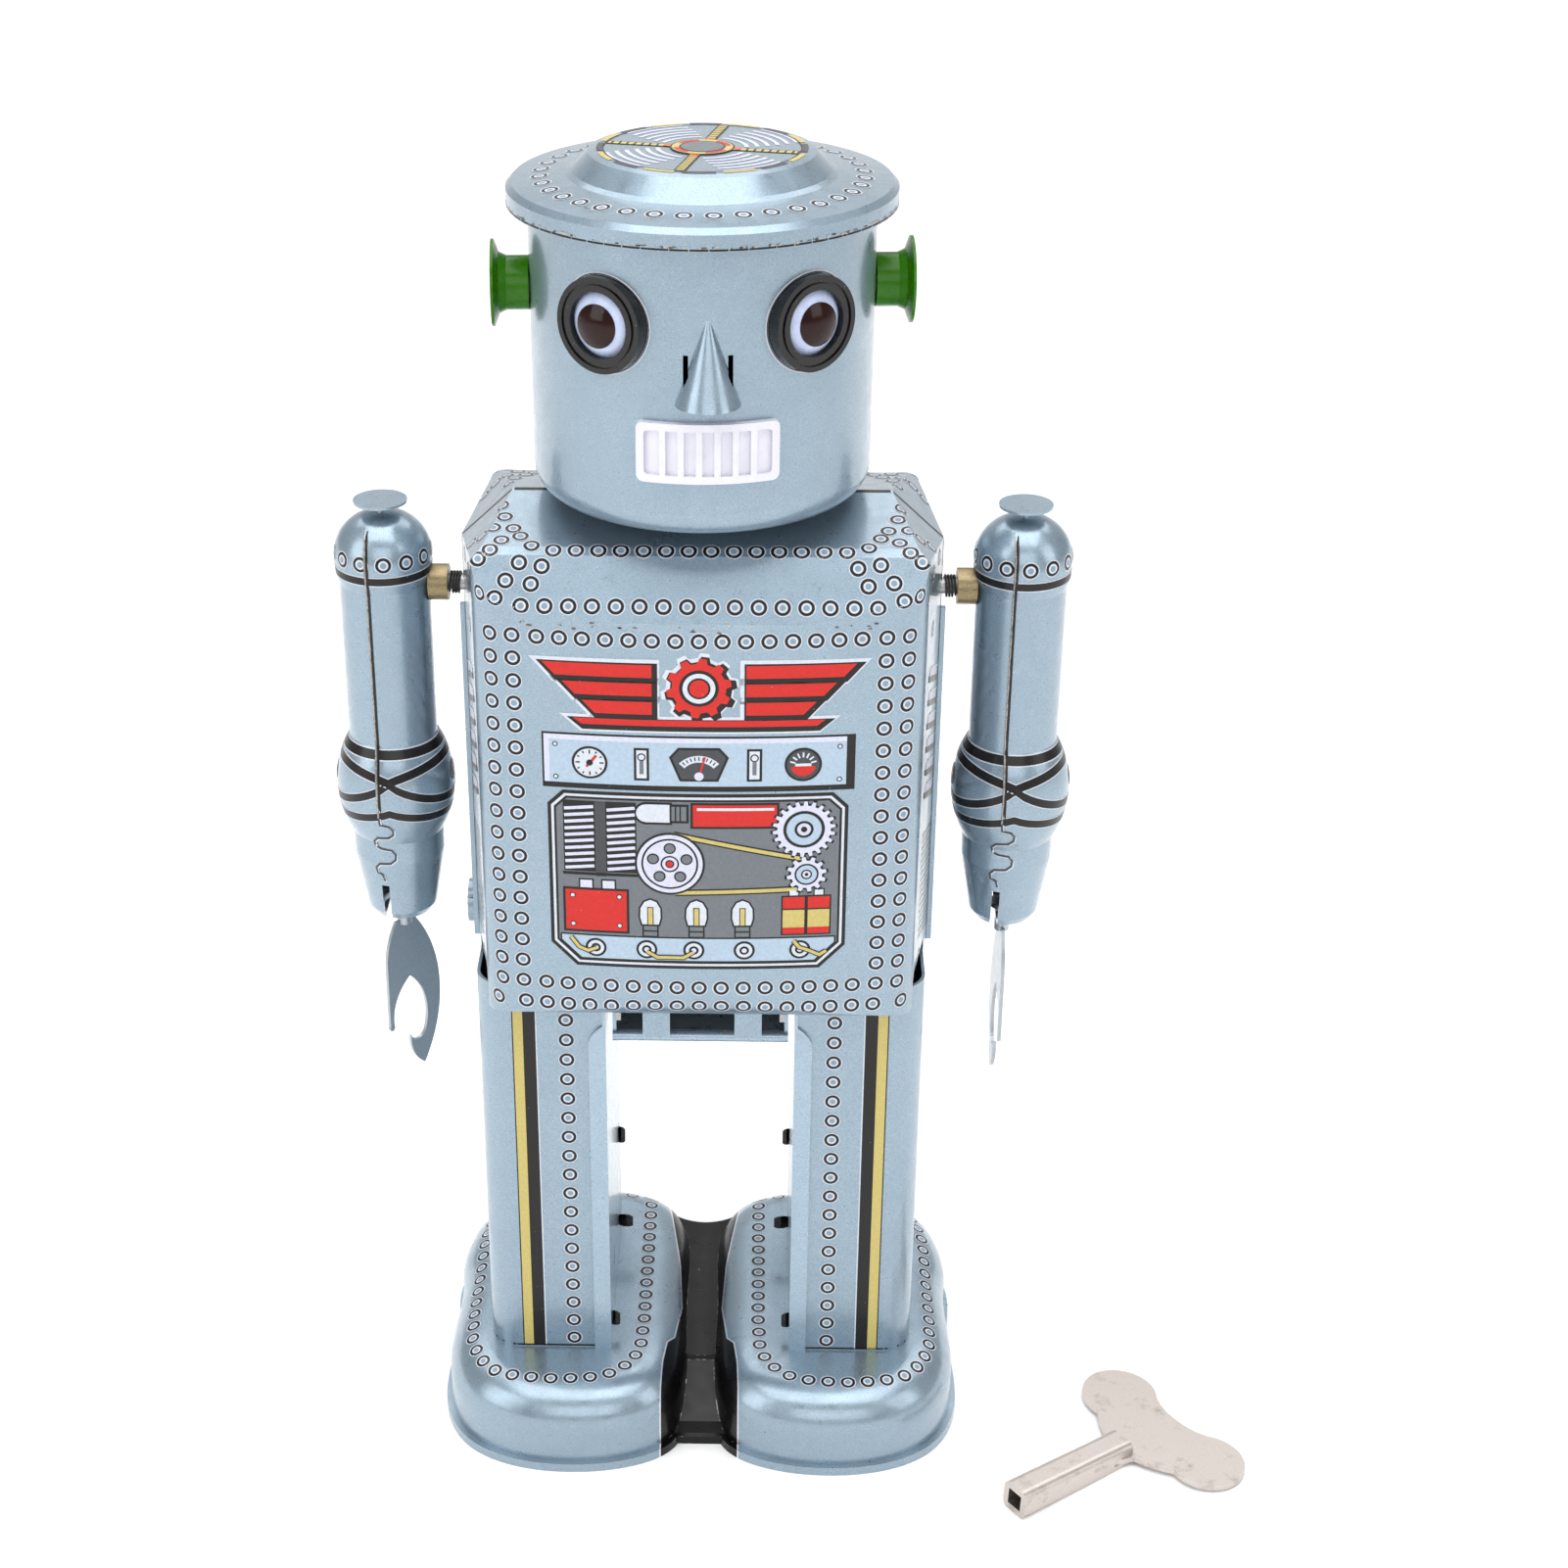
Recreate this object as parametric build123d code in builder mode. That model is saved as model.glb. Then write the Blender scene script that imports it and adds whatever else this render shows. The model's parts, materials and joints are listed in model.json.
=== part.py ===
"""Tin wind-up robot: pressed-sheet body, clockwork in the hips, belt drive to wheels under the feet.

Millimetres.  The origin is on the floor, under the neck axis, at the middle of the foot base.
-Y is the robot's front, +Z is up, and "left" is the left side seen from the front (-X).
"""

import os
from math import acos, asin, atan2, cos, degrees, pi, radians, sin, tan

from build123d import *

os.makedirs("parts", exist_ok=True)

# ---------------------------------------------------------------- driving dimensions
TIN = 0.5  # sheet thickness
RUN = 0.05  # radial clearance of a running fit

HEAD_R = 25.0
HEAD_BOTTOM = 163.5
HEAD_TOP = 207.9
HEAD_CORNER = 4.0
HEAD_TURN = 3.0  # the head sits slightly turned on the neck, degrees
EYE_Z = 194.0
EYE_ANGLE = 35.0
EYE_R = 6.82
DOME_R = 4.69
DOME_SPHERE_R = 6.5
DOME_APEX = 27.2
PUPIL_R = 3.1
NOSE_BOTTOM = 183.7
NOSE_TOP = 195.6
NOSE_R = 4.6
MOUTH_Z = 176.75
MOUTH_W = 20.1
MOUTH_H = 8.7
MOUTH_RIBS = 7
EAR_TUBE_R = 3.9
EAR_FLANGE_R = 6.25
EAR_END = 30.4
CAP_R = 28.0
CAP_SKIRT_BOTTOM = 205.9
CAP_RIM_TOP = 208.7
CAP_DOME_R = 18.6
CAP_DOME_BASE = 210.0
CAP_DISC_R = 15.6
CAP_TOP = 213.2

TORSO_BOTTOM = 82.5
TORSO_TOP = 162.1
TORSO_HALF_W = 36.5
TORSO_FRONT = 24.2  # half depth at the middle of the crowned face
SHOULDER_Z = 146.7
AXLE_R = 1.2

ARM_X = 48.6
ARM_SEAM = -1.8  # seam plane from the arm's own axis
ARM_TOP = 158.2
ARM_BOTTOM = 89.6
ARM_R = 6.9
COLLAR_R = 2.8
CLAW_TURN = {"left": -42.0, "right": 3.0}  # rest turn of each claw about its pin

LEG_INNER = 15.0
LEG_OUTER = 35.6
LEG_HALF_D = 17.5
LEG_TOP = 85.5
LEG_CORNER = 5.0
FOOT_TOP = 14.0
FOOT_HALF_L = 32.0
FOOT_HALF_W = 43.0
FOOT_ROUND = 6.5
BEAD = 0.9
VALLEY_Z = 9.0
VALLEY_HALF_W = 7.0

TRAY_HALF_W = 14.0
TRAY_BOTTOM = 74.3
TRAY_FRONT = 15.5

DRIVE_Y, DRIVE_Z, DRIVE_R = 9.0, 5.5, 5.5
FRONT_Y, FRONT_Z, FRONT_R = -16.0, 4.0, 4.0
PULLEY_X = 25.5
PULLEY_R = 3.0

ARBOR_Y, ARBOR_Z = 4.2, 88.6
PLATE_X = 12.6  # inner distance of each motor plate from the middle
PLATE_T = 0.8
GREAT_TEETH, GREAT_MODULE = 30, 0.8
FAST_TEETH, FAST_MODULE = 24, 0.7
PINION_TEETH = 12
PRESSURE_ANGLE = radians(25)
BACKLASH = 0.14

KEY_SHAFT = 24.0
KEY_SIDE = 5.2
KEY_SOCKET = 2.9
KEY_WING_T = 1.0
KEY_LENGTH = 40.0
KEY_PLACE = (51.8, -40.8)
KEY_HEADING = 36.6

SIDES = {"left": -1, "right": 1}


def save(piece, name, turn=0.0):
    """Label a finished piece, turn it about the neck axis if asked, and write its STEP file."""
    finished = piece.rotate(Axis.Z, turn) if turn else piece
    finished.label = name
    export_step(finished, f"parts/{name}.step")


def rod(x0, x1, y, z, radius):
    """A round bar along X."""
    with BuildPart(mode=Mode.PRIVATE) as bar:
        with BuildSketch(Plane.YZ.offset(x0)):
            with Locations((y, z)):
                Circle(radius)
        extrude(amount=x1 - x0)
    return bar.part


# ---------------------------------------------------------------- head
def eye_plane(angle, radius):
    """Plane facing straight out of the head at an eye, `radius` from the neck axis."""
    a = radians(angle)
    return Plane(
        origin=(radius * sin(a), -radius * cos(a), EYE_Z),
        x_dir=(cos(a), sin(a), 0),
        z_dir=(sin(a), -cos(a), 0),
    )


def nose_shell():
    """Half cone standing on the drum, open below."""
    height = NOSE_TOP - NOSE_BOTTOM
    middle = (NOSE_TOP + NOSE_BOTTOM) / 2
    with BuildPart(mode=Mode.PRIVATE) as nose:
        with Locations((0, -HEAD_R + 0.3, middle)):
            Cone(NOSE_R, 0.35, height)
            Cone(NOSE_R - TIN, 0.05, height, mode=Mode.SUBTRACT)
        with Locations((0, 0, middle)):
            Cylinder(HEAD_R - TIN / 2, height + 2, mode=Mode.SUBTRACT)
    return nose.part


with BuildPart() as head_drum:
    with BuildSketch(Plane.XZ):
        with BuildLine():
            l1 = Line((0, HEAD_BOTTOM), (HEAD_R - HEAD_CORNER, HEAD_BOTTOM))
            a1 = CenterArc((HEAD_R - HEAD_CORNER, HEAD_BOTTOM + HEAD_CORNER), HEAD_CORNER, -90, 90)
            l2 = Polyline(
                a1 @ 1,
                (HEAD_R, HEAD_TOP),
                (HEAD_R - TIN, HEAD_TOP),
                (HEAD_R - TIN, HEAD_BOTTOM + HEAD_CORNER),
            )
            a2 = CenterArc(
                (HEAD_R - HEAD_CORNER, HEAD_BOTTOM + HEAD_CORNER), HEAD_CORNER - TIN, 0, -90
            )
            Polyline(a2 @ 1, (0, HEAD_BOTTOM + TIN), (0, HEAD_BOTTOM))
        make_face()
    revolve(axis=Axis.Z)
    with BuildSketch(Plane.XZ):
        with Locations((0, MOUTH_Z)):
            RectangleRounded(MOUTH_W, MOUTH_H, 1.0)
    extrude(amount=30, mode=Mode.SUBTRACT)
    for eye_angle in (-EYE_ANGLE, EYE_ANGLE):
        with BuildSketch(eye_plane(eye_angle, 20)):
            Circle(EYE_R)
        extrude(amount=8, mode=Mode.SUBTRACT)
    with BuildSketch(Plane.YZ):
        with Locations((0, EYE_Z)):
            Circle(2.4)
    extrude(amount=30, both=True, mode=Mode.SUBTRACT)
    add(nose_shell())
    # the slits where the nose was lanced free of the drum
    with Locations((-3.1, -HEAD_R + 0.2, 188.6), (3.1, -HEAD_R + 0.2, 188.6)):
        Box(0.7, 2.4, 4.2, mode=Mode.SUBTRACT)
save(head_drum.part, "head_drum", HEAD_TURN)

with BuildPart() as cap:
    with BuildSketch(Plane.XZ):
        with BuildLine():
            Polyline(
                (0, CAP_TOP),
                (CAP_DISC_R - 0.6, CAP_TOP),
                (CAP_DISC_R + 0.6, CAP_TOP - 0.3),
                (CAP_DOME_R, CAP_DOME_BASE + 0.5),
                (CAP_DOME_R + 0.8, CAP_DOME_BASE),
                (CAP_R - 0.8, CAP_RIM_TOP + 0.3),
                (CAP_R, CAP_RIM_TOP - 0.5),
                (CAP_R, CAP_SKIRT_BOTTOM),
                (CAP_R - TIN, CAP_SKIRT_BOTTOM),
                (CAP_R - TIN, CAP_RIM_TOP - 0.7),
                (CAP_R - 1.1, CAP_RIM_TOP - 0.2),
                (CAP_DOME_R + 0.5, CAP_DOME_BASE - TIN),
                (CAP_DOME_R - 0.5, CAP_DOME_BASE + 0.2),
                (CAP_DISC_R + 0.3, CAP_TOP - 0.8),
                (CAP_DISC_R - 0.7, CAP_TOP - TIN),
                (0, CAP_TOP - TIN),
                close=True,
            )
        make_face()
    revolve(axis=Axis.Z)
save(cap.part, "cap", HEAD_TURN)

with BuildPart() as mouth_insert:
    with BuildSketch(Plane.XZ):
        with Locations((0, MOUTH_Z)):
            RectangleRounded(MOUTH_W, MOUTH_H, 1.0)
    extrude(amount=30)
    with BuildSketch(Plane.XY.offset(MOUTH_Z - 8)):
        Circle(HEAD_R + 0.4)
        Circle(HEAD_R - TIN, mode=Mode.SUBTRACT)
    extrude(amount=16, mode=Mode.INTERSECT)
with BuildPart() as mouth_relief:
    with BuildSketch(Plane.XZ):
        with Locations((0, MOUTH_Z)):
            RectangleRounded(MOUTH_W, MOUTH_H, 1.0)
            RectangleRounded(MOUTH_W - 2.2, MOUTH_H - 2.2, 0.6, mode=Mode.SUBTRACT)
            with GridLocations((MOUTH_W - 2.2) / MOUTH_RIBS, 1, MOUTH_RIBS - 1, 1):
                Rectangle(0.9, MOUTH_H - 1.5)
    extrude(amount=30)
    with BuildSketch(Plane.XY.offset(MOUTH_Z - 8)):
        Circle(HEAD_R + 1.0)
        Circle(HEAD_R, mode=Mode.SUBTRACT)
    extrude(amount=16, mode=Mode.INTERSECT)
save(mouth_insert.part + mouth_relief.part, "mouth_insert", HEAD_TURN)

for side_name, side in SIDES.items():
    eye_angle = side * EYE_ANGLE
    with BuildPart() as eye_bezel:
        with BuildSketch(eye_plane(eye_angle, 23.6)):
            Circle(EYE_R)
            Circle(DOME_R + 0.02, mode=Mode.SUBTRACT)
        extrude(amount=2.7)
        with BuildSketch(eye_plane(eye_angle, 26.0)):
            Circle(EYE_R - 0.75)
            Circle(EYE_R - 1.2, mode=Mode.SUBTRACT)
        extrude(amount=1, mode=Mode.SUBTRACT)
    save(eye_bezel.part, f"eye_bezel_{side_name}", HEAD_TURN)

    sphere_centre = eye_plane(eye_angle, DOME_APEX - DOME_SPHERE_R).origin
    with BuildPart() as eye_dome:
        with BuildSketch(eye_plane(eye_angle, 23.6)):
            Circle(DOME_R)
        extrude(amount=5)
        with Locations(sphere_centre):
            Sphere(DOME_SPHERE_R, mode=Mode.INTERSECT)
    save(eye_dome.part, f"eye_dome_{side_name}", HEAD_TURN)

    with BuildPart() as pupil:
        with BuildSketch(eye_plane(eye_angle, 25)):
            Circle(PUPIL_R)
        extrude(amount=4)
        with Locations(sphere_centre):
            Sphere(DOME_SPHERE_R + 0.25, mode=Mode.INTERSECT)
            Sphere(DOME_SPHERE_R, mode=Mode.SUBTRACT)
    save(pupil.part, f"pupil_{side_name}", HEAD_TURN)

    with BuildPart() as ear:
        with BuildSketch(Plane.XZ):
            with BuildLine():
                Polyline(
                    (side * (HEAD_R - 1.5), EYE_Z),
                    (side * (HEAD_R - 1.5), EYE_Z + 2.4),
                    (side * HEAD_R, EYE_Z + 2.4),
                    (side * HEAD_R, EYE_Z + EAR_TUBE_R),
                    (side * (EAR_END - 2.2), EYE_Z + EAR_TUBE_R),
                    (side * (EAR_END - 1.1), EYE_Z + EAR_TUBE_R + 0.5),
                    (side * (EAR_END - 0.4), EYE_Z + EAR_FLANGE_R),
                    (side * EAR_END, EYE_Z + EAR_FLANGE_R),
                    (side * (EAR_END - 0.5), EYE_Z + EAR_TUBE_R + 0.3),
                    (side * (EAR_END - 1.6), EYE_Z + EAR_TUBE_R - 0.6),
                    (side * (HEAD_R + 0.8), EYE_Z + EAR_TUBE_R - 0.7),
                    (side * (HEAD_R + 0.8), EYE_Z),
                    close=True,
                )
            make_face()
        revolve(axis=Axis((0, 0, EYE_Z), (1, 0, 0)))
    save(ear.part, f"ear_{side_name}", HEAD_TURN)

NECK_R = 7.0
with BuildPart() as neck_boss:
    with BuildSketch(Plane.XY.offset(TORSO_TOP - 4)):
        Circle(NECK_R)
        Circle(NECK_R - 1.2, mode=Mode.SUBTRACT)
    extrude(amount=HEAD_BOTTOM - TORSO_TOP + 4)
save(neck_boss.part, "neck_boss")


# ---------------------------------------------------------------- torso
def torso_block(inset):
    """Front half of the body as a solid, every face moved in by `inset`, from the seam plane forward."""
    w = TORSO_HALF_W - inset
    low, high = TORSO_BOTTOM + inset, TORSO_TOP - inset
    front = TORSO_FRONT - inset
    with BuildPart(mode=Mode.PRIVATE) as block:
        with BuildSketch(Plane.XZ):
            with BuildLine():
                Line((0, low), (w - 2.5, low))
                CenterArc((w - 2.5, low + 2.5), 2.5, -90, 90)
                Polyline((w, low + 2.5), (w, 154.6), (28.4 - inset / 2, high), (0, high))
                mirror(about=Plane.YZ)
            make_face()
        extrude(amount=TORSO_FRONT)
        # side view: crowned bottom edge, upright face, shoulder slope, nearly flat top
        with BuildSketch(Plane.YZ.offset(-TORSO_HALF_W - 1)):
            with BuildLine():
                Line((0, low), (5 - front, low))
                CenterArc((5 - front, low + 5), 5, 270, -90)
                Polyline(
                    (-front, low + 5),
                    (-front, 148.6),
                    (-front + 0.5, 150.2 - inset / 2),
                    (-17.4 + inset / 2, 158.2 - inset),
                    (-16.0 + inset / 2, 159.0 - inset),
                    (0, high),
                    (0, low),
                )
            make_face()
        extrude(amount=2 * TORSO_HALF_W + 2, mode=Mode.INTERSECT)
        # plan: side walls lean in towards the front, round corners, crowned face
        with BuildSketch(Plane.XY.offset(TORSO_BOTTOM - 5)):
            with BuildLine():
                Polyline((0, 0), (w, 0), (w - 3.0, -16.4 + inset / 2))
                ThreePointArc(
                    (w - 3.0, -16.4 + inset / 2), (w - 4.3, inset - 20.2), (w - 8.0, inset - 22.0)
                )
                ThreePointArc((w - 8.0, inset - 22.0), (0, -front), (8.0 - w, inset - 22.0))
                ThreePointArc(
                    (8.0 - w, inset - 22.0), (4.3 - w, inset - 20.2), (3.0 - w, -16.4 + inset / 2)
                )
                Polyline((3.0 - w, -16.4 + inset / 2), (-w, 0), (0, 0))
            make_face()
        extrude(amount=100, mode=Mode.INTERSECT)
    return block.part


def torso_half(extra):
    """Hollow front half with `extra` solid added outside, and the openings that both halves share."""
    with BuildPart(mode=Mode.PRIVATE) as half:
        add(torso_block(0))
        if extra is not None:
            add(extra)
        add(torso_block(TIN), mode=Mode.SUBTRACT)
        with BuildSketch(Plane.XY.offset(TORSO_BOTTOM - 1)):
            Rectangle(2 * LEG_OUTER + 0.1, 2 * LEG_HALF_D + 1.3)
        extrude(amount=6, mode=Mode.SUBTRACT)
        with BuildSketch(Plane.XY.offset(TORSO_TOP - 5)):
            Circle(NECK_R)
        extrude(amount=10, mode=Mode.SUBTRACT)
        add(rod(-45, 45, 0, SHOULDER_Z, AXLE_R), mode=Mode.SUBTRACT)
    return half.part


with BuildPart() as front_tabs:
    with Locations((-6.9, -18.4, TORSO_BOTTOM - 2.6), (7.6, -18.4, TORSO_BOTTOM - 2.6)):
        Box(4.3, TIN, 6.2)
with BuildPart() as torso_front:
    add(torso_half(None))
    add(front_tabs.part)
save(torso_front.part, "torso_front")

RIM_LOW, RIM_HIGH = 84.5, 143.0  # standing rim at the seam
BOSS_R = 3.6
BOSS_HOLE_R = 2.7
with BuildPart() as seam_rim:
    with BuildSketch(Plane.XZ):
        with Locations((0, (RIM_LOW + RIM_HIGH) / 2)):
            Rectangle(2 * TORSO_HALF_W + 1.5, RIM_HIGH - RIM_LOW)
    extrude(amount=1.0)
with BuildPart() as winding_boss:
    with BuildSketch(Plane.YZ.offset(-TORSO_HALF_W - 1.8)):
        with Locations((-ARBOR_Y, ARBOR_Z)):
            Circle(BOSS_R)
    extrude(amount=5)
with BuildPart() as torso_back:
    add(torso_half(seam_rim.part + winding_boss.part).mirror(Plane.XZ))
    add(rod(-45, -30, ARBOR_Y, ARBOR_Z, BOSS_HOLE_R), mode=Mode.SUBTRACT)
save(torso_back.part, "torso_back")

with BuildPart() as hip_tray:
    with BuildSketch(Plane.XZ.offset(-TRAY_FRONT)):
        with BuildLine():
            Polyline(
                (-TRAY_HALF_W, 84),
                (-TRAY_HALF_W, TRAY_BOTTOM),
                (TRAY_HALF_W, TRAY_BOTTOM),
                (TRAY_HALF_W, 84),
                (TRAY_HALF_W - 0.6, 84),
                (TRAY_HALF_W - 0.6, TRAY_BOTTOM + 0.6),
                (0.6 - TRAY_HALF_W, TRAY_BOTTOM + 0.6),
                (0.6 - TRAY_HALF_W, 84),
                close=True,
            )
        make_face()
    extrude(amount=2 * TRAY_FRONT)
    with Locations((0, -TRAY_FRONT, TRAY_BOTTOM + 0.9), (0, TRAY_FRONT, TRAY_BOTTOM + 0.9)):
        Cylinder(0.9, 2 * TRAY_HALF_W, rotation=(0, 90, 0))
save(hip_tray.part, "hip_tray")

# ---------------------------------------------------------------- shoulders and arms
AXLE_END = 43.6
with BuildPart() as shoulder_axle:
    add(rod(-AXLE_END, AXLE_END, 0, SHOULDER_Z, AXLE_R))
    for end in (-AXLE_END - 0.8, AXLE_END):
        add(rod(end, end + 0.8, 0, SHOULDER_Z, 2.1))
save(shoulder_axle.part, "shoulder_axle")


def arm_block(centre, inset):
    """Turned form of an arm: dome, upper tube, swollen elbow, tapering forearm."""
    with BuildPart(mode=Mode.PRIVATE) as block:
        with BuildSketch(Plane.XZ):
            with BuildLine():
                ThreePointArc((0, ARM_TOP - inset), (5.5 - inset, 156.2), (7.5 - inset, 151.8))
                Polyline((7.5 - inset, 151.8), (7.3 - inset, 148.6), (ARM_R - inset, 147.2))
                Line((ARM_R - inset, 147.2), (ARM_R - inset, 121.6))
                ThreePointArc((ARM_R - inset, 121.6), (9.25 - inset, 113.4), (7.2 - inset, 104.8))
                Polyline(
                    (7.2 - inset, 104.8),
                    (7.15 - inset, 101),
                    (5.5 - inset, 91.2),
                    (4.6 - inset, ARM_BOTTOM + 0.3 + inset),
                    (3.6 - inset, ARM_BOTTOM + inset),
                    (0, ARM_BOTTOM + inset),
                    (0, ARM_TOP - inset),
                )
            make_face()
        revolve(axis=Axis.Z)
    return block.part.translate((centre, 0, 0))


def side_rod(side, near, far, radius):
    """A round bar on the shoulder axis from |x| = near to |x| = far on one side."""
    ends = sorted((side * near, side * far))
    return rod(*ends, 0, SHOULDER_Z, radius)


COLLAR_START = 38.75
PIN_R = 1.2
for side_name, side in SIDES.items():
    centre = side * ARM_X
    with BuildPart() as shell:
        add(arm_block(centre, 0))
        add(arm_block(centre, TIN), mode=Mode.SUBTRACT)
        add(side_rod(side, 38, ARM_X, AXLE_R + RUN), mode=Mode.SUBTRACT)
        # slit at the wrist, slot for the top strap, hole for the claw's pin
        with Locations((centre + ARM_SEAM, 0, ARM_BOTTOM + 2.9)):
            Box(1.2, 20, 8.6, mode=Mode.SUBTRACT)
        with Locations((centre, 0, ARM_TOP)):
            Box(0.5, 2.6, 4, mode=Mode.SUBTRACT)
        with Locations((centre, 0, ARM_BOTTOM)):
            Cylinder(PIN_R + RUN, 3, mode=Mode.SUBTRACT)
    seam = Plane.YZ.offset(centre + ARM_SEAM)
    names = ("inner", "outer") if side < 0 else ("outer", "inner")
    for name, keep in zip(names, (Keep.TOP, Keep.BOTTOM)):
        with BuildPart() as arm_shell:
            add(shell.part)
            split(bisect_by=seam, keep=keep)
        save(arm_shell.part, f"arm_{side_name}_{name}_shell")

    with BuildPart() as arm_disc:
        with Locations((centre, 0, ARM_TOP + 1.7)):
            Cylinder(4.1, 0.4)
        with Locations((centre, 0, ARM_TOP + 0.1)):
            Box(0.5, 2.6, 3.0)
    save(arm_disc.part, f"arm_{side_name}_top_disc")

    with BuildPart() as collar:
        add(side_rod(side, COLLAR_START, ARM_X - ARM_R + 0.05, COLLAR_R))
        add(side_rod(side, COLLAR_START, ARM_X - ARM_R + 0.05, AXLE_R + RUN), mode=Mode.SUBTRACT)
        add(arm_block(centre, 0), mode=Mode.SUBTRACT)
    save(collar.part, f"shoulder_collar_{side_name}")

    with BuildPart() as spring:
        for turn in range(3):
            with Locations((side * (36.95 + 0.72 * turn), 0, SHOULDER_Z)):
                Torus(1.55, 0.3, rotation=(0, 90, 0))
    save(spring.part, f"shoulder_spring_{side_name}")


def claw_plane(side_name):
    """Plane of a claw's sheet: local x points to the robot's back at no turn, local y is up."""
    a = radians(CLAW_TURN[side_name])
    return Plane(
        origin=(SIDES[side_name] * ARM_X, 0, 0), x_dir=(-sin(a), cos(a), 0), z_dir=(cos(a), sin(a), 0)
    )


for side_name, side in SIDES.items():
    with BuildPart() as claw:
        with BuildSketch(claw_plane(side_name)):
            with BuildLine():
                ThreePointArc((1.7, 87.4), (6.5, 71.5), (2.4, 58.6))
                ThreePointArc((2.4, 58.6), (0.5, 60.9), (-0.2, 65.1))
                ThreePointArc((-0.2, 65.1), (1.7, 63.8), (3.0, 65.0))
                ThreePointArc((3.0, 65.0), (3.4, 70.4), (0.2, 76.5))
                ThreePointArc((0.2, 76.5), (-2.3, 74.0), (-3.6, 68.2))
                ThreePointArc((-3.6, 68.2), (-4.1, 67.6), (-4.5, 68.4))
                Line((-4.5, 68.4), (-4.4, 79.0))
                ThreePointArc((-4.4, 79.0), (-3.8, 83.6), (-2.0, 87.4))
                Line((-2.0, 87.4), (1.7, 87.4))
            make_face()
        extrude(amount=0.3, both=True)
        with Locations((side * ARM_X, 0, 88.9)):
            Cylinder(PIN_R, 4.4)
        with Locations((side * ARM_X, 0, 91.5)):
            Cylinder(2.1, 0.8)
    save(claw.part, f"claw_{side_name}")

# ---------------------------------------------------------------- legs
def outer_uprights(shape, side):
    """The two upright edges furthest out on one side."""
    return shape.edges().filter_by(Axis.Z).sort_by(Axis((0, 0, 0), (side, 0, 0)))[-2:]


TAB_SLOTS = ((12.0, 37.5), (-6.0, 24.0), (9.0, 21.0))  # where tabs pass the inner plate, (Y, Z)

for side_name, side in SIDES.items():
    with BuildPart() as leg_shell:
        with BuildSketch(Plane.XY.offset(FOOT_TOP)):
            with Locations((side * (LEG_INNER + LEG_OUTER + 0.5) / 2, 0)):
                Rectangle(LEG_OUTER - LEG_INNER - 0.5, 2 * LEG_HALF_D)
        extrude(amount=LEG_TOP - FOOT_TOP)
        fillet(outer_uprights(leg_shell, side), LEG_CORNER)
        with BuildSketch(Plane.XY.offset(FOOT_TOP - 1)):
            with Locations((side * (LEG_INNER + LEG_OUTER - 0.5) / 2, 0)):
                Rectangle(LEG_OUTER - LEG_INNER - 0.5, 2 * LEG_HALF_D - 2 * TIN)
        leg_hollow = extrude(amount=LEG_TOP, mode=Mode.PRIVATE)
        rounded_hollow = leg_hollow.fillet(LEG_CORNER - TIN, outer_uprights(leg_hollow, side))
        add(rounded_hollow, mode=Mode.SUBTRACT)
    save(leg_shell.part, f"leg_{side_name}_shell")

    with BuildPart() as leg_plate:
        with Locations((side * (LEG_INNER + 0.25), 0, (FOOT_TOP + LEG_TOP) / 2)):
            Box(0.5, 2 * LEG_HALF_D + 1.0, LEG_TOP - FOOT_TOP)
        for face in (-1, 1):
            with BuildSketch(Plane.XZ.offset(-face * LEG_HALF_D)):
                with BuildLine():
                    Polyline(
                        (side * LEG_INNER, FOOT_TOP),
                        (side * (LEG_INNER + 2.8), FOOT_TOP),
                        (side * (LEG_INNER + 2.8), 74.5),
                    )
                    Spline(
                        (side * (LEG_INNER + 2.8), 74.5),
                        (side * (LEG_INNER + 2.0), 76.8),
                        (side * LEG_INNER, 78.5),
                        tangents=((0, 1, 0), (-side, 0.5, 0)),
                    )
                    Line((side * LEG_INNER, 78.5), (side * LEG_INNER, FOOT_TOP))
                make_face()
            extrude(amount=-face * 0.5)
        with Locations([(side * LEG_INNER, y, z) for y, z in TAB_SLOTS]):
            Box(3, 1.2, 4.0, mode=Mode.SUBTRACT)
    save(leg_plate.part, f"leg_{side_name}_inner_plate")


# ---------------------------------------------------------------- foot base
SHOE_X = 22.7  # middle of a shoe
SHOE_HALF_W = FOOT_HALF_W - SHOE_X
# back half of a shoe's outline from its middle, outer side first
SHOE_BACK = [
    (20.3, 8),
    (19.5, 18.5),
    (15.5, 26),
    (7.8, 30.6),
    (-1.7, 31.9),
    (-10.2, 30.6),
    (-17.1, 26.5),
    (-20.1, 18),
    (-20.3, 6),
]


def shoe_outline(side, grow):
    """Plan outline of one shoe, moved out by `grow`."""
    wide, long = 1 + grow / SHOE_HALF_W, 1 + grow / FOOT_HALF_L
    front_half = [(x, -y) for x, y in reversed(SHOE_BACK)]
    points = [(side * (SHOE_X + wide * x), long * y) for x, y in SHOE_BACK + front_half]
    with BuildSketch(mode=Mode.PRIVATE) as outline:
        with BuildLine():
            Spline(points, periodic=True)
        make_face()
    return outline.sketch


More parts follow.
